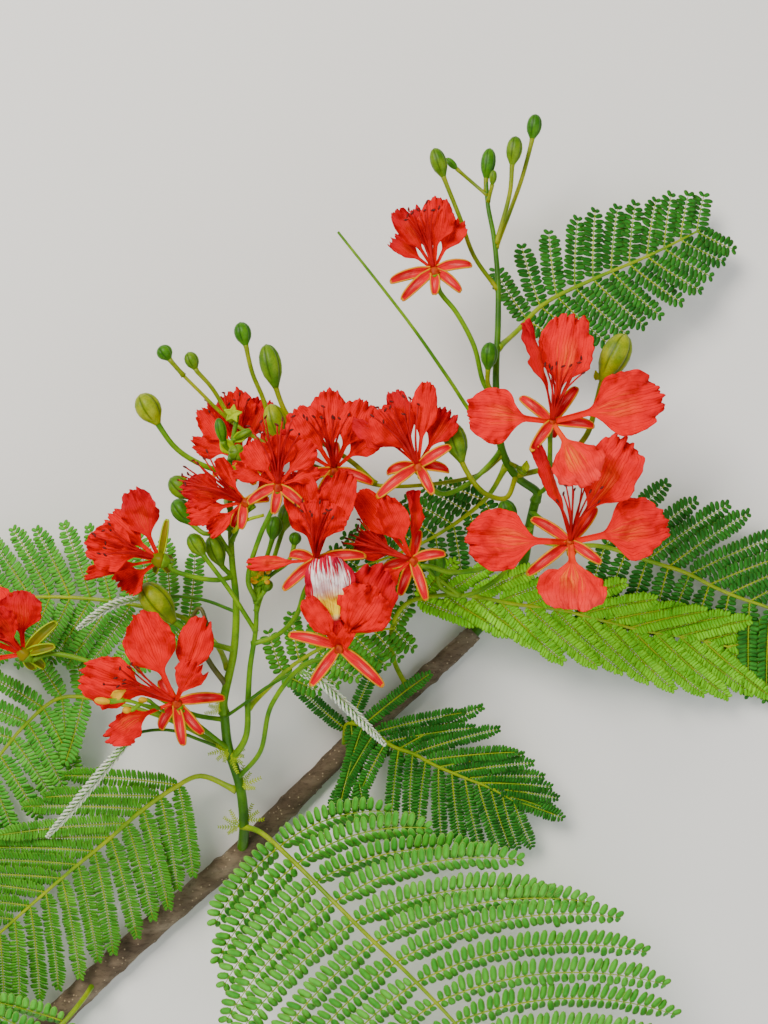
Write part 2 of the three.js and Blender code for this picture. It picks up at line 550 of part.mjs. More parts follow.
// Leaves: the midrib's places, where the side branches start, their pairs and length, and for each
// side their lean from the midrib at its foot and its tip, with their share of the length
const leaves = {
  leaf_front: {
    places: [[-71, -157, 24], [-62, -160, 34], [-46, -174, 50], [-26, -194, 64], [-8, -212, 71],
      [13, -232, 74], [35, -255, 72], [60, -284, 62], [84, -314, 48]],
    bearer: leftShoot, first: 0.12, pairs: 12, long: 122, left: [57, 46], right: [-97, -80, 0.78],
    outline: [0.12, 0.86],
  },
  leaf_corner: {
    places: [[-145, -235, 8], [-150, -243, 26], [-162, -257, 38], [-180, -272, 46],
      [-205, -290, 48], [-233, -309, 42], [-258, -328, 32]],
    bearer: branch, first: 0.2, pairs: 8, long: 54, left: [64, 46], right: [-66, -48],
  },
  leaf_low_left: {
    places: [[-74, -139, 40], [-92, -132, 36], [-105, -138, 34], [-122, -150, 32],
      [-138, -164, 30], [-155, -178, 28], [-177, -197, 25], [-200, -218, 20], [-222, -241, 14]],
    bearer: leftShoot, first: 0.16, pairs: 11, long: 72, left: [68, 44, 0.8], right: [-36, -50],
  },
  leaf_mid_left: {
    places: [[-77, -119, 53], [-107, -104, 38], [-137, -95, 30], [-162, -93, 26],
      [-179, -106, 24], [-194, -124, 21], [-210, -143, 16], [-226, -163, 10]],
    bearer: leftShoot, first: 0.42, pairs: 7, long: 42, left: [80, 56], right: [-70, -50],
  },
  leaf_high_left: {
    places: [[-78, -78, 66], [-84, -66, 52], [-98, -54, 42], [-122, -47, 34], [-152, -43, 28],
      [-182, -43, 22], [-212, -48, 15], [-236, -56, 9]],
    bearer: leftRaceme, first: 0.2, pairs: 9, long: 44, left: [70, 50], right: [-70, -50],
  },
  leaf_bright: {
    places: [[13, -90, 6], [5, -74, 24], [4, -58, 34], [11, -46, 39], [25, -42, 42], [43, -42, 44],
      [65, -46, 45], [88, -49, 41], [128, -59, 32], [158, -64, 23], [186, -71, 13]],
    bearer: branch, first: 0.27, pairs: 10, long: 56, left: [32, 20, 0.8], right: [-34, -26],
    outline: [0.16, 0.72], finish: finishes.brightLeaf,
  },
  leaf_lower: {
    places: [[-20, -119, 6], [-18, -106, 22], [-8, -108, 30], [4, -117, 33], [15, -121, 34],
      [24, -126, 34], [38, -132, 32], [53, -138, 28], [66, -145, 22]],
    bearer: branch, first: 0.14, pairs: 8, long: 50, left: [60, 10], right: [-96, -36],
    finish: finishes.darkLeaf,
  },
  leaf_right: {
    places: [[72, -13, 42], [90, -17, 42], [108, -17, 38], [134, -25, 31], [150, -30, 28],
      [166, -38, 24], [178, -43, 21], [190, -47, 18], [218, -59, 12], [244, -74, 7]],
    bearer: rightShoot, first: 0.2, pairs: 11, long: 56, left: [54, 34], right: [-92, -56],
    finish: finishes.darkLeaf,
  },
  leaf_middle: {
    places: [[-68, -98, 68], [-60, -90, 58], [-46, -77, 50], [-27, -66, 44], [-8, -60, 40],
      [6, -58, 36]],
    bearer: middleRaceme, first: 0.3, pairs: 6, long: 26, left: [70, 50], right: [-70, -50],
  },
  leaf_upper: {
    places: [[57, 82, 72], [66, 90, 60], [80, 104, 50], [106, 117, 42], [132, 128, 34],
      [158, 141, 24]],
    bearer: rightRaceme, first: 0.2, pairs: 8, long: 38, left: [70, 48], right: [-74, -50],
    finish: finishes.darkLeaf,
  },
  leaf_behind: {
    places: [[61, 23, 71], [52, 8, 57], [38, -4, 46], [22, -14, 40], [4, -22, 36], [-14, -28, 32]],
    bearer: rightRaceme, first: 0.24, pairs: 5, long: 30, left: [70, 50], right: [-70, -50],
    finish: finishes.darkLeaf,
  },
};

const youngLeaves = {
  young_leaf_right: {
    places: [[-80, -103, 61], [-70, -96, 72], [-56, -86, 78], [-42, -80, 82]],
    bearer: leftShoot,
    fold: [[-32, -85, 84], [-19, -97, 84], [1, -117, 80]],
    wide: 9,
  },
  young_leaf_low: {
    places: [[-77, -120, 52], [-92, -114, 60], [-108, -109, 64], [-126, -112, 66]],
    bearer: leftShoot,
    fold: [[-142, -131, 66], [-156, -148, 63], [-169, -163, 58]],
    wide: 9,
  },
  young_leaf_left: {
    places: [[-74, -50, 70], [-90, -44, 60], [-108, -42, 50], [-122, -43, 46]],
    bearer: leftRaceme,
    fold: [[-132, -45, 45], [-142, -50, 44], [-154, -59, 44]],
    wide: 8,
  },
};

const bodies = new Map();
const skinOf = new Map();

function place(name, body, finish) {
  bodies.set(name, body);
  skinOf.set(name, finish);
}

place('branch', branch.body(), finishes.bark);
place('shoot_right', rightShoot.body(), finishes.shoot);
place('shoot_left', fuse([leftShoot.body(), ...shootBuds]), finishes.shoot);
place('raceme_left', fuse([leftRaceme.body(), ...leftBuds]), finishes.shoot);
place('raceme_middle', fuse([middleRaceme.body(), ...middleBuds]), finishes.shoot);
place('raceme_right', fuse([rightRaceme.body(), ...rightBuds]), finishes.shoot);
place('stalk_cross', fuse([crossStalk.body(), ...crossBuds]), finishes.shoot);
place('stalk_arching', archingStalk.body(), finishes.shoot);
place('stalk_curled', curledStalk.body(), finishes.shoot);
for (const [name, spec] of Object.entries(blooms)) {
  place(name, bloom(spec), finishes.petal);
}
for (const [name, spec] of Object.entries(youngLeaves)) {
  place(name, youngLeaf(spec), finishes.young);
}
const midribs = new Map(Object.entries(leaves).map(([name, spec]) => [name, midrib(spec)]));
for (const [name, rib] of midribs) {
  const others = [...midribs.values()].filter((other) => other !== rib);
  const taken = [...bodies.values(), ...others.map((other) => other.body())];
  const { finish = finishes.leaf } = leaves[name];
  place(name, leaf(rib, leaves[name], wasm.Manifold.union(taken)), finish);
}

// Mesh of a finished body
function meshOf(body) {
  const { numProp, vertProperties, triVerts } = body.getMesh();
  const geometry = new THREE.BufferGeometry();
  const places = new THREE.InterleavedBuffer(vertProperties, numProp);
  geometry.setAttribute('position', new THREE.InterleavedBufferAttribute(places, 3, 0));
  geometry.setIndex(new THREE.BufferAttribute(triVerts, 1));
  return geometry;
}

const plant = new THREE.Group();
for (const [name, body] of bodies) {
  const geometry = meshOf(body);
  geometry.computeVertexNormals();
  const mesh = new THREE.Mesh(geometry, skinOf.get(name));
  mesh.name = name;
  plant.add(mesh);
}

// The origin is on the ground, under the middle of the whole
const extent = new THREE.Box3().setFromObject(plant);
const middle = extent.getCenter(new THREE.Vector3());
plant.position.set(-middle.x, -middle.y, -extent.min.z);
plant.updateMatrixWorld(true);

export default plant;
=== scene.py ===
"""A cut flowering flame tree branch, dressed over the solids of its limbs, leaves and blooms."""

import json
import logging
import math
import random
from dataclasses import dataclass
from enum import Enum
from itertools import cycle
from typing import Callable, Iterable, Sequence

import bmesh
import bpy
import numpy as np
from mathutils import Matrix, Vector, noise


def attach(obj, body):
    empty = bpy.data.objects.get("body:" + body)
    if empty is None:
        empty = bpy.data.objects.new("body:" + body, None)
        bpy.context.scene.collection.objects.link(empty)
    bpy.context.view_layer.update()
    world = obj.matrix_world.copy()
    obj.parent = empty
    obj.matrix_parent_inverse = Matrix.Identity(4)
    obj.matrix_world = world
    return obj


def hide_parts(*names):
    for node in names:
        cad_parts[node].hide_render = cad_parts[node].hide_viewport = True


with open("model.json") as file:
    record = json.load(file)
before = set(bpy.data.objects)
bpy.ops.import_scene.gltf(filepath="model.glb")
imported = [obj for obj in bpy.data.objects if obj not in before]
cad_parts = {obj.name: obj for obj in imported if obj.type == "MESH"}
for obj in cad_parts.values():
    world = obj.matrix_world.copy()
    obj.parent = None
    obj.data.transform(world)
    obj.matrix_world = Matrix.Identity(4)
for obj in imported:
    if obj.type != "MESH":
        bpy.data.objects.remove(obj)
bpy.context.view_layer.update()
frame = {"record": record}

log = logging.getLogger("flame tree branch")

MM = 0.001
EYE = 811.0  # height of the eye above the ground, in mm, as the solids were sized
BLOOM_PLANE = 100.0  # height in mm at which places across and up are true to size
BODY = "root"
STALK_STEP = 2.2  # mm between the stations of a flower stalk

Place = tuple[float, float, float]
Rows = Sequence[Place]
Profile = Callable[[float, float], float]
Station = tuple[float, Vector, Vector, Vector]  # share of the length, point, and cross directions


class Page:
    """The page that the branch was sized on: places across and up in mm, with a height."""

    BUTT: Place = (-177, -266, 7.4)

    def __init__(self, cut_end: Sequence[float]) -> None:
        """Find the shift of the frame from where the cut end lies.

        Args:
            cut_end: the middle of the sawn face in the frame, in metres.
        """
        self.shift = Vector((0, 0, 0))
        self.shift = Vector(cut_end) - self.seen(self.BUTT)

    def seen(self, place: Place) -> Vector:
        """Put a place of the page into the frame.

        Args:
            place: across and up on the bloom plane, and the height, in mm.

        Returns:
            The point in metres that the eye sees there.
        """
        across, up, height = place
        spread = (EYE - height) / (EYE - BLOOM_PLANE)
        return Vector((across * spread, up * spread, height)) * MM + self.shift

    def route(self, rows: Rows) -> list[Vector]:
        """Put a row of places into the frame."""
        return [self.seen(row) for row in rows]

    def eye(self) -> Vector:
        """Give the point that the branch is seen from."""
        return Vector((0, 0, EYE)) * MM + self.shift


PAGE = Page(next(m for m in frame["record"]["mounts"] if m["name"] == "cut_end")["pos_m"])


class Spine:
    """A smooth curve through places, measured along its length."""

    FINE = 24  # samples between two places
    NEAR = 0.004  # share of the length over which a heading is taken
    # the pairs of knots between which each round of the curve's sum mixes its points
    SPANS = (((0, 1), (1, 2), (2, 3)), ((0, 2), (1, 3)), ((1, 2),))

    def __init__(self, places: Sequence[Vector]) -> None:
        """Sample the centripetal curve through the places."""
        points = [np.array(place, float) for place in places]
        points = [2 * points[0] - points[1], *points, 2 * points[-1] - points[-2]]
        samples = []
        for n in range(1, len(points) - 2):
            samples.extend(self._stretch(*points[n - 1:n + 3]))
        samples.append(points[-2])
        self.samples = np.array(samples)
        steps = np.linalg.norm(np.diff(self.samples, axis=0), axis=1)
        self.along = np.concatenate([[0], np.cumsum(steps)])
        self.length = float(self.along[-1])
        self.mm = self.length / MM

    def _stretch(self, before: np.ndarray, start: np.ndarray, end: np.ndarray,
                 after: np.ndarray) -> list[np.ndarray]:
        """Sample the curve between two of its places."""
        knots = [0.0]
        for one, other in ((before, start), (start, end), (end, after)):
            knots.append(knots[-1] + math.sqrt(max(float(np.linalg.norm(other - one)), 1e-9)))
        out = []
        for step in range(self.FINE):
            now = mix(knots[1], knots[2], step / self.FINE)
            points = [before, start, end, after]
            for spans in self.SPANS:
                parts = [(now - knots[low]) / (knots[high] - knots[low]) for low, high in spans]
                points = [one + (other - one) * part for one, other, part in zip(points, points[1:], parts)]
            out.append(points[0])
        return out

    def at(self, share: float) -> Vector:
        """Give the point at a share of the length."""
        where = share * self.length
        return Vector([float(np.interp(where, self.along, self.samples[:, k])) for k in range(3)])

    def heading(self, share: float) -> Vector:
        """Give the direction of travel at a share of the length."""
        low, high = max(share - self.NEAR, 0.0), min(share + self.NEAR, 1.0)
        return (self.at(high) - self.at(low)).normalized()

    def frames(self, count: int) -> list[Station]:
        """Carry a section along the curve without twisting it.

        Args:
            count: how many stations, both ends included.

        Returns:
            For each station its share of the length, its point, and its two cross directions.
        """
        out = []
        heading = self.heading(0)
        guide = Vector((0, 0, 1)) if abs(heading.z) < 0.9 else Vector((1, 0, 0))
        across = heading.cross(guide).normalized()
        for n in range(count):
            share = n / (count - 1)
            heading = self.heading(share)
            across = (across - heading * across.dot(heading)).normalized()
            out.append((share, self.at(share), across, heading.cross(across).normalized()))
        return out

    def stations(self, step: float, least: int = 2) -> list[Station]:
        """Carry a section along the curve with stations about a step apart.

        Args:
            step: the gap between two stations, in mm.
            least: how many stations a short curve still has.

        Returns:
            The stations.
        """
        return self.frames(max(least, round(self.mm / step)))


def aim(bearing: float, lift: float) -> Vector:
    """Give the direction for a bearing across the page and a lift towards the eye, in degrees."""
    turn, rise = math.radians(bearing), math.radians(lift)
    return Vector((math.cos(turn) * math.cos(rise), math.sin(turn) * math.cos(rise), math.sin(rise)))


def mix(low: float, high: float, share: float) -> float:
    """Give the value a share of the way from low to high."""
    return low + (high - low) * share


def smooth(low: float, high: float, value: float) -> float:
    """Rise from 0 at low to 1 at high with no corner."""
    share = min(max((value - low) / (high - low), 0.0), 1.0)
    return share * share * (3 - 2 * share)


def unit(ways: np.ndarray) -> np.ndarray:
    """Scale a direction, or each of a row of them, to a length of one."""
    return ways / np.linalg.norm(ways, axis=-1, keepdims=True)


def linear(colour: str) -> tuple[float, float, float, float]:
    """Turn an sRGB hex colour into the linear one that shaders take."""
    parts = [int(colour[n:n + 2], 16) / 255 for n in (1, 3, 5)]
    low = [part / 12.92 if part <= 0.04045 else ((part + 0.055) / 1.055) ** 2.4 for part in parts]
    return (low[0], low[1], low[2], 1.0)


def per_mm(size: float) -> float:
    """Give the pattern scale at which one cell of a texture is about this many mm."""
    return 1.0 / (size * MM)


class Skin:
    """A material while it is made: its nodes, its shader, and the place that its patterns read."""

    def __init__(self, name: str, **shader: object) -> None:
        """Start from the plain shader.

        Args:
            name: the substance's name.
            shader: the shader's uniform inputs, with spaces written as underscores.
        """
        self.material = bpy.data.materials.new(name)
        self.material.use_nodes = True
        self.tree = self.material.node_tree
        self.shader = next(node for node in self.tree.nodes if node.type == "BSDF_PRINCIPLED")
        for key, value in shader.items():
            self.shader.inputs[key.replace("_", " ")].default_value = value
        self.place = self.add("TexCoord", out="Object")

    def add(self, kind: str, inputs: dict | None = None, out: int | str = 0,
            ramp: Sequence[tuple[float, str]] = (), **settings: object) -> bpy.types.NodeSocket:
        """Add one node with its settings and links.

        Args:
            kind: the shader node's type.
            inputs: for each input's name or number, a plain value or the socket that feeds it.
            out: the output that it gives.
            ramp: the stops of a colour ramp, each a place and an sRGB hex colour.
            settings: the node's own properties.

        Returns:
            The output.
        """
        node = self.tree.nodes.new("ShaderNode" + kind)
        for name, value in settings.items():
            setattr(node, name, value)
        for name, value in (inputs or {}).items():
            if isinstance(value, bpy.types.NodeSocket):
                self.tree.links.new(value, node.inputs[name])
            else:
                node.inputs[name].default_value = value
        if ramp:
            stops = node.color_ramp.elements
            while len(stops) < len(ramp):
                stops.new(0.5)
            for stop, (place, colour) in zip(stops, ramp):
                stop.position = place
                stop.color = linear(colour)
        return node.outputs[out]

    def close(self, colour: bpy.types.NodeSocket, relief: bpy.types.NodeSocket | None = None,
              strength: float = 0, depth: float = 0) -> bpy.types.Material:
        """Link the colour and the relief to the shader.

        Args:
            colour: the socket of the colour.
            relief: the socket of the height.
            strength: how strong the relief is.
            depth: the height that it stands for, in mm.

        Returns:
            The material.
        """
        self.tree.links.new(colour, self.shader.inputs["Base Color"])
        if relief is not None:
            bump = self.add("Bump", {"Height": relief, "Strength": strength, "Distance": depth * MM})
            self.tree.links.new(bump, self.shader.inputs["Normal"])
        return self.material


@dataclass(frozen=True)
class BarkFinish:
    """Young bark of the tree: grey-brown cork, finely cracked, dotted with pale breathing pores."""

    name: str = "young brown bark"
    patch: float = 11.0  # size of the lighter and darker patches, mm
    fissure: float = 1.8  # spacing of the fine cracks, mm
    pore: float = 3.0  # spacing of the pores, mm

    def material(self) -> bpy.types.Material:
        """Make the bark, matt and dry, with pale pores."""
        skin = Skin(self.name, Roughness=0.86, Specular_IOR_Level=0.3)
        turned = skin.add("Mapping", {"Vector": skin.place, "Rotation": (0, 0, -0.79),
                                      "Scale": (0.3, 1.0, 1.0)})
        patches = skin.add("TexNoise", {"Vector": turned, "Scale": per_mm(self.patch), "Detail": 6.0})
        cracks = skin.add("TexNoise", {"Vector": turned, "Scale": per_mm(self.fissure), "Detail": 8.0,
                                       "Roughness": 0.7})
        base = skin.add("ValToRGB", {"Fac": patches}, ramp=(
            (0.3, "#544636"), (0.48, "#685845"), (0.6, "#7C6C57"), (0.76, "#94856F")))
        deep = skin.add("ValToRGB", {"Fac": cracks}, ramp=((0.36, "#4A3A2C"), (0.52, "#FFFFFF")))
        bark = skin.add("Mix", {0: 0.45, 6: base, 7: deep}, 2, data_type="RGBA", blend_type="MULTIPLY")
        dots = skin.add("TexVoronoi", {"Vector": skin.place, "Scale": per_mm(self.pore), "Randomness": 1.0})
        spot = skin.add("MapRange", {"Value": dots, "From Min": 0.2, "From Max": 0.1, "To Max": 0.75})
        colour = skin.add("Mix", {0: spot, 6: bark, 7: linear("#B29E7E")}, 2, data_type="RGBA")
        raised = skin.add("Math", {0: spot, 1: cracks}, operation="ADD")
        return skin.close(colour, raised, 0.5, 0.4)


@dataclass(frozen=True)
class SawnWoodFinish:
    """Fresh sawn end grain: cream wood with faint rings round a small pith."""

    name: str = "sawn cream wood"
    ring: float = 1.3  # spacing of the growth rings, mm

    def material(self, centre: Vector) -> bpy.types.Material:
        """Make the wood, with its rings about the middle of the cut."""
        skin = Skin(self.name, Roughness=0.7)
        centred = skin.add("Mapping", {"Vector": skin.place, "Location": -centre})
        rings = skin.add("TexWave", {"Vector": centred, "Scale": per_mm(self.ring) / 20, "Distortion": 1.2,
                                     "Detail": 2.0}, "Fac", wave_type="RINGS", rings_direction="SPHERICAL")
        return skin.close(skin.add("ValToRGB", {"Fac": rings}, ramp=(
            (0.2, "#C9AE82"), (0.6, "#E4D0A4"), (0.9, "#EBDDB8"))))


@dataclass(frozen=True)
class StalkFinish:
    """Living green stem: a smooth waxy skin that shades from lime to deeper green, faintly speckled."""

    name: str
    light: str
    dark: str
    patch: float = 14.0  # size of the lighter and darker stretches, mm
    speck: float = 0.9  # spacing of the specks, mm
    seam: str | None = None  # painted shade in a bud's sunken seams: the darker colour that its own attribute places

    def material(self) -> bpy.types.Material:
        """Make the skin, with a soft waxy gloss."""
        skin = Skin(self.name, Roughness=0.42, Subsurface_Weight=0.06, Subsurface_Scale=1.2 * MM,
                    Specular_IOR_Level=0.22)
        patches = skin.add("TexNoise", {"Vector": skin.place, "Scale": per_mm(self.patch), "Detail": 3.0})
        tone = skin.add("ValToRGB", {"Fac": patches}, ramp=((0.36, self.dark), (0.62, self.light)))
        specks = skin.add("TexNoise", {"Vector": skin.place, "Scale": per_mm(self.speck), "Detail": 2.0})
        fleck = skin.add("ValToRGB", {"Fac": specks}, ramp=((0.4, "#B4BD6A"), (0.52, "#FFFFFF")))
        colour = skin.add("Mix", {0: 0.3, 6: tone, 7: fleck}, 2, data_type="RGBA", blend_type="MULTIPLY")
        # painted shade: a darker colour along a bud's sunken seams
        if self.seam:
            seam = skin.add("Attribute", out="Fac", attribute_name="seam")
            colour = skin.add("Mix", {0: seam, 6: colour, 7: linear(self.seam)}, 2, data_type="RGBA")
        return skin.close(colour, specks, 0.25, 0.15)


@dataclass(frozen=True)
class PetalFinish:
    """Petal: thin crepe-like tissue with veins that fan from the claw, velvety rather than shiny."""

    name: str
    throat: str
    blade: str
    margin: str
    # the veins' colour, which also lays the patches of painted shade
    vein_and_shade: str
    flame: str  # the streaks that run up from the throat
    reach: float = 0.3  # how far up the petal the throat's colour goes
    flames: float = 0.3  # how strong the streaks are
    veins: float = 19.0  # veins across the blade
    vein_strength: float = 0.5
    patch: str | None = None  # colour of a pale patch in the middle of the blade
    wander: float = 7.0  # size of the veins' bends, mm
    shade: float = 13.0  # size of the patches of painted shade, in deeper red, mm
    crepe: float = 1.1  # size of the crepe's grain, mm

    def material(self) -> bpy.types.Material:
        """Make the petal, its colours running from throat to margin along its own map."""
        skin = Skin(self.name, Roughness=0.6, Specular_IOR_Level=0.06, Subsurface_Weight=0.12,
                    Subsurface_Scale=1.2 * MM)
        spot = skin.add("UVMap", uv_map="petal")
        level = skin.add("SeparateXYZ", {0: spot})
        along = level.node.outputs[1]
        across = skin.add("Math", {0: level, 1: 0.5}, operation="SUBTRACT")
        aside = skin.add("Math", {0: across}, operation="ABSOLUTE")
        wander = skin.add("TexNoise", {"Vector": skin.place, "Scale": per_mm(self.wander), "Detail": 3.0})
        long_way = skin.add("Mapping", {"Vector": spot, "Scale": (26, 2.2, 1)})
        streak = skin.add("TexNoise", {"Vector": long_way, "Scale": 1.0, "Detail": 3.0, "Distortion": 0.6})
        shade = skin.add("TexNoise", {"Vector": skin.place, "Scale": per_mm(self.shade), "Detail": 4.0,
                                      "Distortion": 0.8})
        crepe = skin.add("TexNoise", {"Vector": skin.place, "Scale": per_mm(self.crepe), "Detail": 4.0})
        fan = skin.add("Math", {0: across, 1: self.veins * 2 * math.pi}, operation="MULTIPLY")
        shifted, bent, ragged, top, height = (
            skin.add("Math", {0: value, 1: times, 2: plus}, operation="MULTIPLY_ADD")
            for value, times, plus in ((wander, 0.22, along), (wander, 11.0, fan), (streak, 0.5, aside),
                                       (streak, 0.9, along), (streak, 1.6, crepe)))
        wave = skin.add("Math", {0: bent}, operation="SINE")
        colour = skin.add("ValToRGB", {"Fac": shifted}, ramp=(
            (self.reach * 0.5, self.throat), (self.reach + 0.16, self.blade), (0.84, self.blade),
            (1.0, self.margin)))
        middle = ((ragged, 0.62, 0.56, 1), (top, 1.38, 1.28, 1), (along, 0.26, 0.36, 1))
        layers = (
            (self.flame, ((streak, 0.44, 0.66, self.flames), (aside, 0.3, 0.08, 1), (along, 0.26, 0.45, 1),
                          (along, 0.86, 0.52, 1))),
            (self.patch, middle),
            (self.patch and self.flame, (*middle, (along, 0.66, 0.5, 1))),
            # painted shade: soft patches of the veins' deeper red, darker as in folds
            (self.vein_and_shade, ((shade, 0.48, 0.7, 0.6),)),
            (self.vein_and_shade, ((wave, 0.45, 1.0, self.vein_strength), (streak, 0.35, 0.6, 1))),
        )
        for layer, bands in layers:
            if layer:
                colour = self._lay(skin, colour, layer, bands)
        return skin.close(colour, height, 0.6, 0.35)

    @staticmethod
    def _lay(skin: Skin, under: bpy.types.NodeSocket, layer: str,
             bands: Iterable[tuple]) -> bpy.types.NodeSocket:
        """Lay one plain colour over what is there.

        Args:
            skin: the material.
            under: the colour so far.
            layer: the colour on top.
            bands: where it shows, each a value, its places of 0 and of the most, and the most.

        Returns:
            The colour.
        """
        share = 1.0
        for value, low, high, most in bands:
            band = skin.add("MapRange", {"Value": value, "From Min": low, "From Max": high, "To Max": most},
                            interpolation_type="SMOOTHSTEP")
            share = skin.add("Math", {0: share, 1: band}, operation="MULTIPLY")
        return skin.add("Mix", {0: share, 6: under, 7: linear(layer)}, 2, data_type="RGBA")


@dataclass(frozen=True)
class SoftFinish:
    """Thin soft plant tissue of one hue, such as a leaflet or an anther, mottled over a few mm."""

    name: str
    light: str
    dark: str
    mottle: float = 9.0  # size of the mottling, mm
    roughness: float = 0.5
    glow: float = 0.08  # how much light comes through the tissue
    margin: str | None = None  # lighter colour of a leaflet's margin, painted light on its edges, which its own attribute places
    grain: float = 0.7  # size of the surface's grain, mm

    def material(self) -> bpy.types.Material:
        """Make the tissue, matt with a faint sheen."""
        skin = Skin(self.name, Roughness=self.roughness, Subsurface_Weight=self.glow,
                    Subsurface_Scale=1.0 * MM, Specular_IOR_Level=0.16)
        blur = skin.add("TexNoise", {"Vector": skin.place, "Scale": per_mm(self.mottle), "Detail": 4.0})
        colour = skin.add("ValToRGB", {"Fac": blur}, ramp=((0.34, self.dark), (0.62, self.light)))
        # painted light: the leaflet turns lighter towards its margin
        if self.margin:
            rim = skin.add("Attribute", out="Fac", attribute_name="rim")
            edge = skin.add("MapRange", {"Value": rim, "From Min": 0.6, "From Max": 0.95, "To Max": 0.75})
            colour = skin.add("Mix", {0: edge, 6: colour, 7: linear(self.margin)}, 2, data_type="RGBA")
        grain = skin.add("TexNoise", {"Vector": skin.place, "Scale": per_mm(self.grain), "Detail": 2.0})
        return skin.close(colour, grain, 0.2, 0.12)


class Tint(Enum):
    """The greens of the leaves, lighter or darker by how the light falls on each: painted light and shade.
    """

    FRONT = "front leaflet"
    MID = "leaflet"
    # painted light: a lighter copy of the green for leaves that lie in full light
    BRIGHT = "sunlit leaflet"
    # painted shade: a darker copy of the green for leaves that lie behind or under others
    PAINTED_SHADOW = "shaded leaflet"


class Tone(Enum):
    """The petals' colourings, by their place among the petal materials."""

    SCARLET = 0
    CORAL = 1
    FLAMED = 2
    STANDARD = 3
    CRIMSON = 4


class Finishes:
    """Every material of the branch, made once."""

    # the fourth colour of each is the veins', also used for the patches of painted shade
    PETALS = (
        PetalFinish("scarlet petal", "#EA0A04", "#E8020A", "#E40212", "#940002", "#FF2814"),
        PetalFinish("coral petal", "#F42004", "#EE0410", "#EA0818", "#A00004", "#FF7220", flames=0.55),
        PetalFinish("flamed petal", "#F85008", "#F4161A", "#F6302E", "#BC0608", "#FF8A22", reach=0.42,
                    flames=0.8),
        PetalFinish("white standard petal", "#F0040C", "#D8022C", "#CC0038", "#9A0014", "#FFDC00",
                    flames=0.2, vein_strength=0.75, patch="#FFF6F2"),
        PetalFinish("crimson petal", "#DC0208", "#CE000E", "#CA001C", "#860004", "#FF8A1E", flames=0.1),
    )
    # the last colour of each is the painted shade of its seams
    BUDS = (
        StalkFinish("green bud skin", "#4C8400", "#2E6A02", patch=8.0, seam="#1C3E04"),
        StalkFinish("lime bud skin", "#6C8E00", "#447200", patch=8.0, seam="#2C4602"),
        StalkFinish("golden bud skin", "#9AA400", "#6A8600", patch=9.0, seam="#3E5600"),
    )
    # three light greens, then the dark one and the lighter margin of painted light that they share
    # the tints are lighter and darker copies of one green: painted light and shade
    LEAVES = {
        Tint.FRONT: ("#52B02C", "#48A424", "#60BC34", "#369426", "#98D054"),
        Tint.MID: ("#4C9E1E", "#429218", "#5AAA24", "#307E18", "#82B838"),
        Tint.BRIGHT: ("#80D40A", "#74C808", "#8EDC10", "#5AB008", "#A0E22C"),
        Tint.PAINTED_SHADOW: ("#2E7E20", "#26721C", "#388C26", "#1A5C16", "#549434"),
    }

    def __init__(self) -> None:
        """Make the materials."""
        self.bark = BarkFinish().material()
        self.sawn = SawnWoodFinish().material(PAGE.seen(Page.BUTT))
        self.shoot = StalkFinish("green shoot skin", "#4A7C04", "#2E6006").material()
        self.stalk = StalkFinish("lime stalk skin", "#709A02", "#447804").material()
        self.ripe = StalkFinish("olive yellow stalk skin", "#929802", "#667E04").material()
        self.olive = StalkFinish("olive stalk skin", "#66661E", "#44461C").material()
        self.rib = StalkFinish("leaf rib skin", "#98AC06", "#6C960A").material()
        self.buds = [finish.material() for finish in self.BUDS]
        self.petals = [finish.material() for finish in self.PETALS]
        self.sepal_in = PetalFinish("red inner sepal", "#F01C1C", "#E20020", "#DC0020", "#A4000A",
                                    "#FF9A90", flames=0.7, veins=3.0).material()
        self.sepal_out = SoftFinish("green outer sepal", "#806E02", "#586804").material()
        self.sepal_edge = SoftFinish("yellow sepal margin", "#DC9C00", "#C87C00", mottle=4.0).material()
        self.cup = SoftFinish("orange calyx cup", "#B84204", "#8E1804", mottle=3.0).material()
        self.filament = SoftFinish("crimson filament", "#C6020C", "#960006", roughness=0.45).material()
        self.anther = SoftFinish("dark anther", "#6E2420", "#481414", mottle=1.0, roughness=0.7).material()
        self.bract = SoftFinish("lime bract", "#B0C400", "#86A800", mottle=5.0, glow=0.05).material()
        self.yellow = SoftFinish("yellow flower bud", "#DCA800", "#C08600", mottle=3.0,
                                 glow=0.03).material()
        self.young = SoftFinish("downy young leaflet", "#F2F5E4", "#D3E2B4", mottle=2.0,
                                glow=0.15).material()
        self.folded = SoftFinish("folded leaflet back", "#6FA03A", "#4F8230", mottle=3.0).material()
        self.leaves = {
            tint: [SoftFinish(f"{tint.value} {n + 1}", light, dark, glow=0.04, margin=margin).material()
                   for n, light in enumerate(lights)]
            for tint, (*lights, dark, margin) in self.LEAVES.items()}


@dataclass
class Limb:
    """A round stem that tapers along a smooth curve."""

    spine: Spine
    foot: float  # diameters in mm
    tip: float

    def radius(self, share: float) -> float:
        """Give the radius at a share of the length, in metres."""
        return mix(self.foot, self.tip, share) / 2 * MM


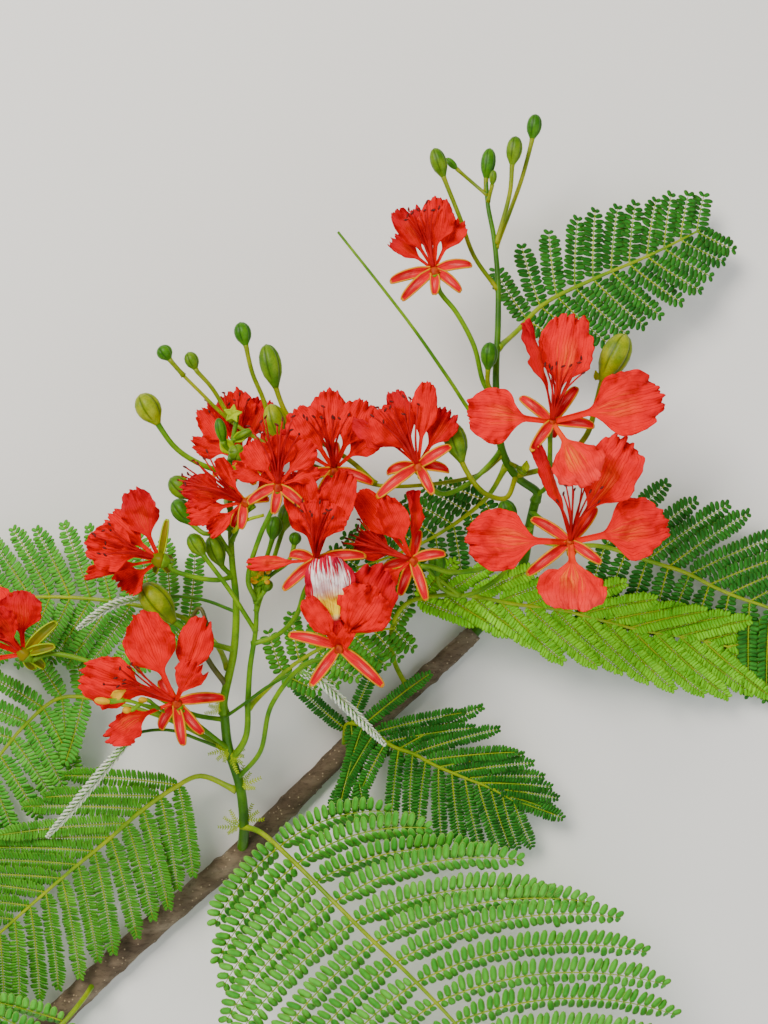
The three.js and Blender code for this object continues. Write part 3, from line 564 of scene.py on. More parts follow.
class Heap:
    """Many small pieces gathered as arrays and written out as one mesh of triangles."""

    def __init__(self) -> None:
        """Start with nothing."""
        self.points: list[np.ndarray] = []
        self.faces: list[np.ndarray] = []
        self.slots: list[np.ndarray] = []
        self.rims: list[np.ndarray] = []
        self.count = 0

    def add(self, points: np.ndarray, faces: np.ndarray, slot: int = 0,
            rim: np.ndarray | None = None) -> None:
        """Add one small piece.

        Args:
            points: its points in metres.
            faces: its triangles.
            slot: its material slot.
            rim: 1 at each point of a blade's margin and 0 inside it, where it has one.
        """
        self.points.append(points)
        self.faces.append(faces + self.count)
        self.slots.append(np.full(len(faces), slot, np.int32))
        self.rims.append(np.zeros(len(points)) if rim is None else rim)
        self.count += len(points)

    def mesh(self, name: str) -> bpy.types.Mesh:
        """Write the gathered pieces as one mesh."""
        points = np.concatenate(self.points).astype(np.float32)
        faces = np.concatenate(self.faces).astype(np.int32)
        mesh = bpy.data.meshes.new(name)
        mesh.vertices.add(len(points))
        mesh.vertices.foreach_set("co", points.ravel())
        mesh.loops.add(faces.size)
        mesh.loops.foreach_set("vertex_index", faces.ravel())
        mesh.polygons.add(len(faces))
        mesh.polygons.foreach_set("loop_start", np.arange(0, faces.size, 3, dtype=np.int32))
        mesh.polygons.foreach_set("material_index", np.concatenate(self.slots))
        rim = mesh.attributes.new("rim", "FLOAT", "POINT")
        rim.data.foreach_set("value", np.concatenate(self.rims).astype(np.float32))
        mesh.update(calc_edges=True)
        mesh.shade_smooth()
        return mesh


@dataclass(frozen=True)
class Wall:
    """The thickness that thin blades get."""

    thick: float  # mm
    side: float = 0  # -1 where it all lies under the blade, 0 where half of it does
    step: int = 0  # from the material of the front to that of the back


def to_mesh(bm: bmesh.types.BMesh, name: str) -> bpy.types.Mesh:
    """Write a bmesh out as a smooth mesh and free it."""
    for face in bm.faces:
        face.smooth = True
    mesh = bpy.data.meshes.new(name)
    bm.to_mesh(mesh)
    bm.free()
    return mesh


def stand(name: str, data: bpy.types.ID) -> bpy.types.Object:
    """Put an object into the scene."""
    thing = bpy.data.objects.new(name, data)
    bpy.context.scene.collection.objects.link(thing)
    return thing


def finish_piece(name: str, shape: bmesh.types.BMesh | Heap, materials: Sequence[bpy.types.Material],
                 nodes: Iterable[str] = (), wall: Wall | None = None) -> None:
    """Make a piece of the branch, in its own place with its object at the origin.

    Args:
        name: the piece's name.
        shape: what it is made of, in the frame.
        materials: its materials in the order of their slots.
        nodes: the solids that it stands for.
        wall: the thickness that its thin blades get.
    """
    mesh = shape.mesh(name) if isinstance(shape, Heap) else to_mesh(shape, name)
    for material in materials:
        mesh.materials.append(material)
    piece = stand(name, mesh)
    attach(piece, BODY)
    if nodes:
        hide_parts(*nodes)
    if wall:
        shell = piece.modifiers.new("thickness", "SOLIDIFY")
        shell.thickness, shell.offset, shell.material_offset = wall.thick * MM, wall.side, wall.step
    log.info("%s: %d faces", name, len(mesh.polygons))


def sweep(bm: bmesh.types.BMesh, stations: Sequence[Station], sides: int, radius: Profile, slot: int = 0,
          cap_slot: int | None = None) -> list[list[bmesh.types.BMVert]]:
    """Sweep a round section along stations into a closed skin.

    Args:
        bm: the mesh that it joins.
        stations: for each ring its share of the length, its middle and its two cross directions.
        sides: how many sides the section has.
        radius: gives the radius in metres from the share of the length and the turn round it.
        slot: the material of the skin.
        cap_slot: the material of the flat foot, where it differs.

    Returns:
        The rings of vertices, from foot to tip.
    """
    layer = bm.verts.layers.float.get("turn") or bm.verts.layers.float.new("turn")
    ring = bmesh.ops.create_circle(bm, segments=sides, radius=1.0)["verts"]
    for vert in ring:
        vert[layer] = math.atan2(vert.co.y, vert.co.x)
    edges = list({edge for vert in ring for edge in vert.link_edges})
    first, faces, rings = edges, [], []
    for n, (share, at, across, over) in enumerate(stations):
        if n:
            out = bmesh.ops.extrude_edge_only(bm, edges=edges)["geom"]
            ring = [item for item in out if isinstance(item, bmesh.types.BMVert)]
            new = set(ring)
            edges = [item for item in out if isinstance(item, bmesh.types.BMEdge)
                     and item.verts[0] in new and item.verts[1] in new]
            faces += [item for item in out if isinstance(item, bmesh.types.BMFace)]
        for vert in ring:
            turn = vert[layer]
            size = radius(share, turn)
            vert.co = at + across * (math.cos(turn) * size) + over * (math.sin(turn) * size)
        rings.append(ring)
    foot = bmesh.ops.holes_fill(bm, edges=first, sides=0)["faces"]
    faces += [*foot, *bmesh.ops.holes_fill(bm, edges=edges, sides=0)["faces"]]
    for face in faces:
        face.material_index = slot
    if cap_slot is not None:
        for face in foot:
            face.material_index = cap_slot
    bmesh.ops.recalc_face_normals(bm, faces=faces)
    return rings


def sweep_stalk(bm: bmesh.types.BMesh, spine: Spine, thick: float, slot: int, foot: float, head: float,
                least: int) -> None:
    """Sweep a flower stalk, flared at its foot and under what it bears.

    Args:
        bm: the mesh that it joins.
        spine: its middle line.
        thick: its diameter, in mm.
        slot: its material.
        foot: how far up it the lower flare fades, in mm.
        head: how far down it the upper flare fades, in mm.
        least: the fewest stations that it has.
    """

    def radius(share: float, _turn: float) -> float:
        """Give the radius in metres."""
        flare = 1 + 0.4 * math.exp(-share * spine.mm / foot) + 0.3 * math.exp((share - 1) * spine.mm / head)
        return thick / 2 * flare * MM

    sweep(bm, spine.stations(STALK_STEP, least), 12, radius, slot)


class Stems:
    """The limbs that everything else grows on, at the sizes of their solids."""

    # for each the limb that it carries on from, its diameters at foot and tip in mm, and its places
    LIMBS: dict[str, tuple[str | None, float, float, Rows]] = {
        "branch": (None, 14.8, 10, (
            (-177, -266, 7.4), (-147, -236, 7.2), (-102, -196, 7), (-71, -170, 6.6), (-42, -141, 6.2),
            (-17, -116, 5.9), (8, -94, 5.6), (28, -76, 5.4), (45, -60, 6))),
        "shoot_right": ("branch", 5.8, 4.8, ((61, -43, 14), (69, -28, 28), (73, -6, 46), (76, 7, 60))),
        "shoot_left": (None, 5.8, 4.8, (
            (-71, -170, 7), (-70, -157, 24), (-72, -137, 42), (-78, -117, 54), (-80, -99, 62))),
        "raceme_left": ("shoot_left", 4.6, 2.2, (
            (-75, -69, 68), (-74, -44, 70), (-76, -24, 72), (-77, 6, 74), (-77, 26, 76), (-73, 50, 78))),
        "raceme_middle": (None, 3.7, 2.2, (
            (-76, -124, 51), (-69, -112, 62), (-68, -94, 70), (-67, -78, 74), (-64, -57, 80),
            (-64, -38, 84))),
        "raceme_right": ("shoot_right", 4.6, 2.2, (
            (66, 18, 70), (59, 31, 72), (56, 63, 72), (57, 94, 72), (57, 114, 71), (55, 137, 70),
            (52, 153, 69), (51, 166, 68))),
        "stalk_cross": (None, 2.2, 1.9, (
            (59, 28, 72), (48, 19, 72), (32, 15, 72), (0, 13, 70), (-16, 17, 68), (-32, 22, 66),
            (-55, 32, 63), (-76, 45, 61), (-94, 62, 64), (-104, 72, 66))),
        "stalk_arching": (None, 2.2, 1.4, (
            (57, 36, 72), (47, 45, 76), (32, 67, 80), (16, 90, 82), (0, 111, 82), (-23, 140, 80))),
        "stalk_curled": (None, 3.2, 1.8, (
            (-79, -86, 65), (-86, -77, 74), (-92, -66, 80), (-96, -54, 84), (-92, -48, 86),
            (-88, -57, 88))),
    }
    SUNK = 2.0  # how far a limb that carries on starts inside its bearer, mm
    STRAIGHT = 4.0  # how far it keeps the bearer's heading, mm

    def __init__(self) -> None:
        """Lay out the limbs from the same places as the solids."""
        self.limbs: dict[str, Limb] = {}
        for name, (bearer, foot, tip, rows) in self.LIMBS.items():
            points = PAGE.route(rows)
            if bearer:
                spine = self.limbs[bearer].spine
                end, heading = spine.at(1), spine.heading(1)
                points = [end - heading * (self.SUNK * MM), end + heading * (self.STRAIGHT * MM), *points]
            self.limbs[name] = Limb(Spine(points), foot, tip)


@dataclass
class WoodyBranch:
    """The brown branch, sawn square at its butt: cracked bark with pores, and rings where leaves grew."""

    limb: Limb
    sides: int = 40
    step: float = 1.5  # mm between stations
    crack: float = 0.14  # depth of the bark's fine cracks, mm
    lump: float = 0.45  # height of its gentle unevenness, mm
    pore: float = 0.45  # height of a breathing pore, mm
    pore_size: float = 1.3  # mm
    pores: int = 210
    reach: float = 3.0  # how far along from a pore it is looked for, mm
    nodes: tuple[float, ...] = (0.2, 0.43, 0.58, 0.76, 0.9)  # swollen rings along the length
    swell: float = 0.7  # height of a swollen ring, mm
    swell_long: float = 2.6  # mm
    groove: float = 0.25  # depth of the groove beside it, mm
    groove_gap: float = 3.2  # from the ring to its groove, mm
    seed: int = 11

    def _pores(self) -> list[tuple[float, float]]:
        """Scatter the pores over length and turn."""
        rng = random.Random(self.seed)
        return [(rng.random(), rng.uniform(-math.pi, math.pi)) for _ in range(self.pores)]

    def _relief(self, pores: list[tuple[float, float]]) -> Profile:
        """Work out how far the bark stands out.

        Args:
            pores: the share of the length and the turn of each pore.

        Returns:
            The radius at a share of the length and a turn.
        """
        length = self.limb.spine.mm
        bins: dict[int, list[tuple[float, float]]] = {}
        for share, turn in pores:
            for near in (-1, 0, 1):
                bins.setdefault(int(share * length / self.reach) + near, []).append((share, turn))

        def radius(share: float, turn: float) -> float:
            """Give the radius in metres."""
            size = mix(self.limb.foot, self.limb.tip, share) / 2
            far = share * length
            ring = Vector((math.cos(turn) * size, math.sin(turn) * size, far))
            grain = Vector((ring.x * 0.9, ring.y * 0.9, far * 0.22))
            out = self.lump * noise.noise(ring * 0.11) * 1.4
            out -= self.crack * max(noise.fractal(grain, 0.9, 2.2, 4), 0.0) ** 0.8 * 1.6
            for place in self.nodes:
                gap = (share - place) * length
                uneven = 1 + 0.5 * math.cos(turn - place * 20)
                out += self.swell * math.exp(-(gap / self.swell_long) ** 2) * uneven
                out -= self.groove * math.exp(-((gap - self.groove_gap) / 0.5) ** 2)
            for where, bearing in bins.get(int(far / self.reach), ()):
                apart = (turn - bearing + math.pi) % (2 * math.pi) - math.pi
                gap = math.hypot((share - where) * length / 0.8, apart * size / 1.2)
                out += self.pore * math.exp(-(gap / (self.pore_size / 2)) ** 2)
            return (size + out) * MM

        return radius

    def build(self, finishes: Finishes) -> None:
        """Make the branch's piece."""
        bm = bmesh.new()
        sweep(bm, self.limb.spine.stations(self.step), self.sides, self._relief(self._pores()), 0, 1)
        for vert in bm.verts:
            vert.co.z = max(vert.co.z, 0.0)
        finish_piece("branch_bark", bm, [finishes.bark, finishes.sawn], ["branch"])


def along_profile(profile: Sequence[tuple[float, float]], share: float) -> float:
    """Give a profile's value at a share of its length."""
    return float(np.interp(share, *zip(*profile)))


@dataclass
class Bud:
    """A closed bud on its stalk: five sepals that meet in sunken seams."""

    places: Rows  # the stalk's places, ending in the bud's foot and its point
    wide: float  # mm
    sides: int = 50
    rings: int = 20
    seam: float = 0.1  # depth of a seam as a share of the radius
    seam_wide: float = 0.09  # half width of a seam, as a share of the way to the next one
    stalk: float = 1.5  # thickness of the stalk of the narrowest bud, mm
    stouter: float = 0.1  # how much thicker it is for each mm of the bud's width

    PROFILE = ((0, 0.27), (0.06, 0.36), (0.16, 0.56), (0.3, 0.84), (0.46, 0.98), (0.6, 1.0), (0.76, 0.9),
               (0.88, 0.68), (0.95, 0.44), (0.985, 0.22), (1, 0.04))

    def _seam(self, turn: float) -> float:
        """Give 1 in the middle of a seam and 0 away from it."""
        apart = abs((turn / (2 * math.pi) * 5 - 0.25) % 1 - 0.5)
        return 1 - smooth(0, 2 * self.seam_wide, 0.5 - apart)

    def build(self, bm: bmesh.types.BMesh, stalk_slot: int, bud_slot: int) -> None:
        """Make the stalk and the bud.

        Args:
            bm: the mesh that they join.
            stalk_slot: the stalk's material.
            bud_slot: the bud's material.
        """
        points = PAGE.route(self.places)
        foot, tip = points[-2:]
        axis = tip - foot
        stem = Spine([*points[:-1], foot + axis * 0.1])
        sweep_stalk(bm, stem, self.stalk + self.stouter * self.wide, stalk_slot, 1.6, 2.2, 6)
        across = axis.cross(Vector((0.3, 0.2, 1)) if abs(axis.normalized().z) < 0.9 else Vector((1, 0, 0)))
        across.normalize()
        over = axis.cross(across).normalized()
        stations = [(n / self.rings, foot + axis * (n / self.rings), across, over)
                    for n in range(self.rings + 1)]

        def skin(share: float, turn: float) -> float:
            """Give the bud's radius, notched along its seams."""
            depth = self.seam * smooth(0.05, 0.35, share)
            return self.wide / 2 * along_profile(self.PROFILE, share) * (1 - depth * self._seam(turn)) * MM

        # how much painted shade each seam's groove gets
        layer = bm.verts.layers.float.get("seam") or bm.verts.layers.float.new("seam")
        for n, ring in enumerate(sweep(bm, stations, self.sides, skin, bud_slot)):
            turns = bm.verts.layers.float["turn"]
            for vert in ring:
                vert[layer] = 0.9 * self._seam(vert[turns]) ** 2 * smooth(0.1, 0.3, n / self.rings)


class Bend:
    """The middle line of a blade that leaves a point and curls back, as the solids have it."""

    STEPS = 40
    SPARE = 4  # steps beyond the tip, for margins that stand out past it

    def __init__(self, foot: Vector, bearing: float, lift: float, long: float, curl: float,
                 roll: float = 0, out: float = 0) -> None:
        """Walk the line.

        Args:
            foot: where it leaves.
            bearing: its way across the page, in degrees.
            lift: its rise towards the eye, in degrees.
            long: its length in mm.
            curl: how far it has turned away from the eye at its tip, in degrees.
            roll: its turn about itself, in degrees.
            out: how far from the foot it starts, in mm.
        """
        heading = aim(bearing, lift)
        side = Vector((0, 0, 1)).cross(heading).normalized()
        side = Matrix.Rotation(math.radians(roll), 3, heading) @ side
        at = foot + heading * (out * MM)
        self.frames = [(at.copy(), side, heading.cross(side))]
        for n in range(self.STEPS + self.SPARE):
            middle = (n + 0.5) / self.STEPS
            now = Matrix.Rotation(math.radians(curl) * middle * middle, 3, side) @ heading
            at = at + now * (long * MM / self.STEPS)
            self.frames.append((at.copy(), side, now.cross(side)))

    def at(self, share: float) -> tuple[Vector, Vector, Vector]:
        """Give the point, the side direction and the over direction at a share of the length."""
        where = min(max(share, 0.0) * self.STEPS, len(self.frames) - 1.001)
        step = int(where)
        part = where - step
        low, high = self.frames[step], self.frames[step + 1]
        return low[0].lerp(high[0], part), low[1], low[2].lerp(high[2], part).normalized()


def grid_blade(bm: bmesh.types.BMesh, columns: int, rows: int, place: Callable[[float, float], Vector],
               slot: Callable[[float, float], int]) -> None:
    """Shape a grid into a thin blade that faces over, with its own map across and along.

    Args:
        bm: the mesh that it joins.
        columns: faces across.
        rows: faces along.
        place: gives the point for a place across (-1 to 1) and along (0 to 1).
        slot: gives the material for the same.
    """
    layer = bm.loops.layers.uv.get("petal") or bm.loops.layers.uv.new("petal")
    verts = bmesh.ops.create_grid(bm, x_segments=columns, y_segments=rows, size=1.0)["verts"]
    faces = list({face for vert in verts for face in vert.link_faces})
    for face in faces:
        middle = face.calc_center_median()
        face.material_index = slot(middle.x, (middle.y + 1) / 2)
        for loop in face.loops:
            loop[layer].uv = ((loop.vert.co.x + 1) / 2, (loop.vert.co.y + 1) / 2)
    for vert in verts:
        vert.co = place(vert.co.x, (vert.co.y + 1) / 2)
    bmesh.ops.reverse_faces(bm, faces=faces)


@dataclass
class Petal:
    """A petal: a narrow channelled claw that opens into a broad, creased limb with a frilled margin."""

    bearing: float  # its way across the page, degrees
    lift: float  # its rise towards the eye, degrees
    long: float  # mm
    wide: float  # mm
    curl: float = 30  # how far it has bent back at its tip, degrees
    roll: float = 0  # its turn about itself, degrees
    root: float = 2  # how far from the middle of the cup it starts, mm
    claw: float = 0.13  # width of the claw as a share of the limb
    opens: float = 0.28  # where the claw starts to open, as a share of the length
    opening: float = 0.26  # how much further up it is fully open
    broadest: float = 0.72  # where the limb is broadest
    hinge: float = 0.22  # where its creases fan from
    rolled: float = 1.2  # half of the arc that the claw is rolled to, radians
    columns: int = 28
    rows: int = 34
    frill: float = 2.5  # height of the margin's waves, mm
    jag: float = 1.1  # depth of the margin's scallops, mm
    dent: float = 3.2  # height of the limb's broad dents, mm
    crease: float = 2.4  # height of the creases that fan from the claw, mm
    pleat: float = 0.26  # height of its fine pleats, mm
    full: float = 24.0  # width in mm at which the relief has its full height

    def _outline(self, turn: float, offset: Vector) -> float:
        """Give how far the margin stands out in mm, at a turn round the limb's middle."""
        broad = noise.noise(Vector((turn * 1.9, 0, 0)) + offset)
        fine = noise.noise(Vector((turn * 6.0, 4, 0)) + offset)
        teeth = noise.noise(Vector((turn * 15.0, 8, 0)) + offset)
        return self.jag * (1.3 * broad + 0.8 * fine + 0.45 * teeth)

    def build(self, bm: bmesh.types.BMesh, foot: Vector, tone: Tone, rng: random.Random) -> None:
        """Make the petal.

        Args:
            bm: the mesh that it joins.
            foot: the middle of the bloom.
            tone: its colouring.
            rng: gives its own irregularity.
        """
        line = Bend(foot, self.bearing, self.lift, self.long - self.root, self.curl, self.roll, self.root)
        narrow = smooth(17, 12, self.wide)
        furl = mix(mix(0.35, 0.9, smooth(26, 18, self.wide)), 1.9, narrow)
        fold = 1 if rng.random() < 0.5 else -1
        phases = [rng.uniform(0, 2 * math.pi) for _ in range(3)]
        offset = Vector([rng.uniform(0, 50) for _ in range(3)])
        waves = rng.uniform(9.5, 13.5)
        size = min(self.wide / self.full, 1.15)

        def place(across: float, along: float) -> Vector:
            """Give the point for a place across and along."""
            limb = smooth(self.opens, self.opens + self.opening, along)
            far = smooth(0.4, 1.0, along)
            turn = math.atan2(across * 0.6, along - 0.5)
            stand = self._outline(turn, offset) * size
            pulled = (0.13 - 0.08 * narrow) * abs(across) ** 2.6 * far
            reach = along * (1 - pulled) + stand / self.long * smooth(0.72, 1, along)
            oval = max(math.sqrt(max(1 - ((along - self.broadest) / 0.44) ** 2, 0.04)), 0.9 * narrow)
            girth = mix(self.claw * (0.75 + 0.7 * along), oval, limb)
            half = (self.wide / 2 * girth + stand * limb * 0.8) * MM
            angle = mix(self.rolled, furl, limb)
            aside = math.sin(across * angle) / angle * half
            deep = (1 - math.cos(across * angle)) / angle * half * mix(1, fold, limb)
            rim = max(abs(across) ** 4, smooth(0.76, 1, along)) * smooth(0.35, 0.62, along)
            ruffle = 1.1 * noise.noise(Vector((turn * 3.4, 12, 0)) + offset)
            ruffle += 0.8 * math.sin(turn * waves + phases[0])
            ruffle += 0.5 * math.sin(turn * waves * 2.37 + phases[1])
            flat = Vector((aside / MM, reach * self.long, 0))
            fan = math.atan2(flat.x, flat.y - self.hinge * self.long)
            relief = self.dent * noise.noise(flat * 0.085 + offset)
            relief += self.dent / 2 * noise.noise(flat * 0.26 + offset)
            relief += self.crease * noise.noise(Vector((fan * 6.5, flat.y * 0.05, 20)) + offset)
            relief += self.pleat * math.sin(fan * 34 + 4 * noise.noise(flat * 0.15 + offset))
            rise = (self.frill * ruffle * rim + relief * limb) * size * MM
            at, side, over = line.at(reach)
            return at + side * aside + over * (deep + rise)

        grid_blade(bm, self.columns, self.rows, place, lambda _across, _along: tone.value)


@dataclass
class Sepal:
    """A strap-like sepal, bent back: red within, green without, with a yellow margin."""

    bearing: float  # as a petal's
    lift: float
    share: float = 1.0  # of the full length
    long: float = 25  # mm
    wide: float = 5.8  # mm
    curl: float = 35  # how far it has bent back at its tip, degrees
    root: float = 1.2  # how far from the middle of the cup it starts, mm
    columns: int = 20
    rows: int = 20
    hem: float = 0.9  # where across the blade the yellow margin starts
    tip: float = 0.93  # where along it the margin goes round the tip
    sag: float = 3.5  # how far the tip bends down the page, mm
    waist: float = 0.66  # width of its foot, as a share of its width
    hollow: float = 0.55  # height of its raised sides, as a share of half its width
    keel: float = 0.12  # depth of the line along its middle, likewise

    def build(self, bm: bmesh.types.BMesh, foot: Vector, rng: random.Random) -> None:
        """Make the sepal.

        Args:
            bm: the mesh that it joins.
            foot: the middle of the bloom.
            rng: gives its own irregularity.
        """
        long = self.long * self.share
        line = Bend(foot, self.bearing, self.lift, long, self.curl, 0, self.root)
        twist = rng.uniform(-0.25, 0.25)
        swing = rng.uniform(-1, 1)
        wide = self.wide * mix(0.75, 1, self.share)

        def place(across: float, along: float) -> Vector:
            """Give the point for a place across and along."""
            girth = mix(self.waist, 1, smooth(0, 0.35, along)) * (1 - 0.25 * smooth(0.5, 0.92, along))
            girth *= math.sqrt(max(1 - max((along - 0.74) / 0.26, 0) ** 2, 0.03))
            half = wide / 2 * girth * MM
            aside = across * half + swing * math.sin(along * 3) * 0.6 * MM
            rise = self.hollow * across * across + twist * across * along
            rise -= self.keel * math.exp(-(across / 0.16) ** 2)
            at, side, over = line.at(along)
            drop = self.sag * abs(math.cos(math.radians(self.bearing))) * along * along
            return at + side * aside + over * (rise * half) + Vector((0, -drop * MM, 0))

        def slot(across: float, along: float) -> int:
            """Give the inner face or the margin."""
            return 1 if abs(across) > self.hem or along > self.tip else 0

        grid_blade(bm, self.columns, self.rows, place, slot)


@dataclass
class Bloom:
    """One bloom on its stalk: cup, petals, turned-back sepals, and a sheaf of ten stamens."""

    name: str
    base: Place
    stalk: Rows
    petals: Sequence[tuple]  # for each the first fields of a Petal
    sepals: Sequence[tuple]  # for each the first fields of a Sepal
    stamens: tuple[float, float, float, float]  # bearing, lift, fan and curl, in degrees
    tones: Sequence[Tone] = (Tone.SCARLET,)
    pedicel: float = 2.6  # thickness of its stalk, mm
    cup_long: float = 6.8
    cup_wide: float = 5.6
    sepal_wide: float = 5.0
    claw: float = 0.13  # as a petal's
    opens: float = 0.28
    turned: bool = False  # it shows its calyx from behind, so the green of the sepals is in front
    heel: float = 5.4  # how far the cup reaches below the petals, mm
    collar: float = 0.42  # share of the cup that keeps the stalk's green
    filaments: int = 10
    filament_long: float = 37
    filament_thick: float = 1.25
    anther_long: float = 2.6

    STEPS = 6  # of a filament's line, and of its anther
    PETAL_WALL = Wall(0.4)
    SEPAL_WALL = Wall(0.8, -1, 2)
    CUP_PROFILE = ((0, 0.32), (0.12, 0.55), (0.32, 0.88), (0.55, 1.0), (0.76, 0.86), (0.9, 0.66), (1, 0.52))

    def _facing(self) -> Vector:
        """Give the way that the bloom faces, the mean of its petals."""
        return sum((aim(*row[:2]) for row in self.petals), Vector((0, 0, 0))).normalized()

    def _petals(self, foot: Vector, rng: random.Random, finishes: Finishes) -> None:
        """Make the petals' piece."""
        bm = bmesh.new()
        for row, tone in zip(self.petals, cycle(self.tones)):
            Petal(*row, claw=self.claw, opens=self.opens).build(bm, foot, tone, rng)
        finish_piece(f"{self.name}_petals", bm, finishes.petals, [self.name], self.PETAL_WALL)

    def _sepals(self, foot: Vector, rng: random.Random, finishes: Finishes) -> None:
        """Make the sepals' piece."""
        bm = bmesh.new()
        for row in self.sepals:
            Sepal(*row, wide=self.sepal_wide).build(bm, foot, rng)
        faces = [finishes.sepal_in, finishes.sepal_edge, finishes.sepal_out, finishes.sepal_out]
        if self.turned:
            faces = [finishes.sepal_out, finishes.bract, finishes.sepal_in, finishes.bract]
        finish_piece(f"{self.name}_sepals", bm, faces, wall=self.SEPAL_WALL)

    def _filament(self, bm: bmesh.types.BMesh, foot: Vector, rng: random.Random, spread: float,
                  long: float) -> None:
        """Make one stamen with its anther.

        Args:
            bm: the mesh that it joins.
            foot: the middle of the bloom.
            rng: gives its own irregularity.
            spread: its place in the fan, from -1 to 1.
            long: its length in mm.
        """
        bearing, lift, fan, curl = self.stamens
        line = Bend(foot, bearing + spread * fan * 0.75 + rng.uniform(-3, 3), lift + rng.uniform(-13, 3),
                    long, curl + rng.uniform(-8, 26), 0, 1)
        sway = -spread * 2.6 + rng.uniform(-1, 1)
        shares = [n / self.STEPS for n in range(self.STEPS + 1)]
        points = []
        for share in shares:
            at, side, _over = line.at(share)
            points.append(at + side * (math.sin(share * math.pi * 0.95) * sway * MM))
        spine = Spine(points)
        thick = self.filament_thick * MM
        sweep(bm, spine.frames(14), 7, lambda share, _turn: thick / 2 * mix(1.15, 0.6, share))
        end, heading = spine.at(1), spine.heading(1)
        turned = (heading + aim(rng.uniform(0, 360), rng.uniform(-30, 10)) * 0.9).normalized()
        across = turned.orthogonal().normalized()
        over = turned.cross(across)
        rows = [(share, end + turned * ((share - 0.4) * self.anther_long * MM), across, over)
                for share in shares]
        sweep(bm, rows, 8, lambda share, _turn: (0.1 + 0.48 * math.sin(math.pi * share) ** 0.7) * MM, 1)

    def _heart(self, foot: Vector, rng: random.Random, finishes: Finishes) -> None:
        """Make the piece of the stalk, the cup and the stamens."""
        bm = bmesh.new()
        facing = self._facing()
        heel = foot - facing * (self.heel * MM)
        across = facing.orthogonal().normalized()
        over = facing.cross(across)
        sweep_stalk(bm, Spine([*PAGE.route(self.stalk), heel]), self.pedicel, 2, 1.8, 2, 8)
        for low, high, slot in ((0, self.collar, 2), (self.collar, 1, 3)):
            shares = [mix(low, high, n / 8) for n in range(9)]
            rows = [(share, heel + facing * (share * self.cup_long * MM), across, over) for share in shares]
            sweep(bm, rows, 25, self._cup_radius, slot)
        for n in range(self.filaments):
            spread = (n / (self.filaments - 1) - 0.5) * 2
            self._filament(bm, foot, rng, spread, self.filament_long * rng.uniform(0.76, 1.0))
        cup = finishes.sepal_out if self.turned else finishes.cup
        finish_piece(f"{self.name}_heart", bm, [finishes.filament, finishes.anther, finishes.stalk, cup])

    def _cup_radius(self, share: float, turn: float) -> float:
        """Give the cup's radius in metres, fluted under its five sepals."""
        flute = 1 + 0.05 * math.cos(turn * 5)
        return self.cup_wide / 2 * along_profile(self.CUP_PROFILE, share) * flute * MM

    def build(self, finishes: Finishes) -> None:
        """Make the bloom's pieces."""
        rng = random.Random(self.name)
        foot = PAGE.seen(self.base)
        self._petals(foot, rng, finishes)
        self._sepals(foot, rng, finishes)
        self._heart(foot, rng, finishes)


# the tones as the blooms list them, where W is the white standard and M is crimson
S, C, F, W, M = Tone.SCARLET, Tone.CORAL, Tone.FLAMED, Tone.STANDARD, Tone.CRIMSON

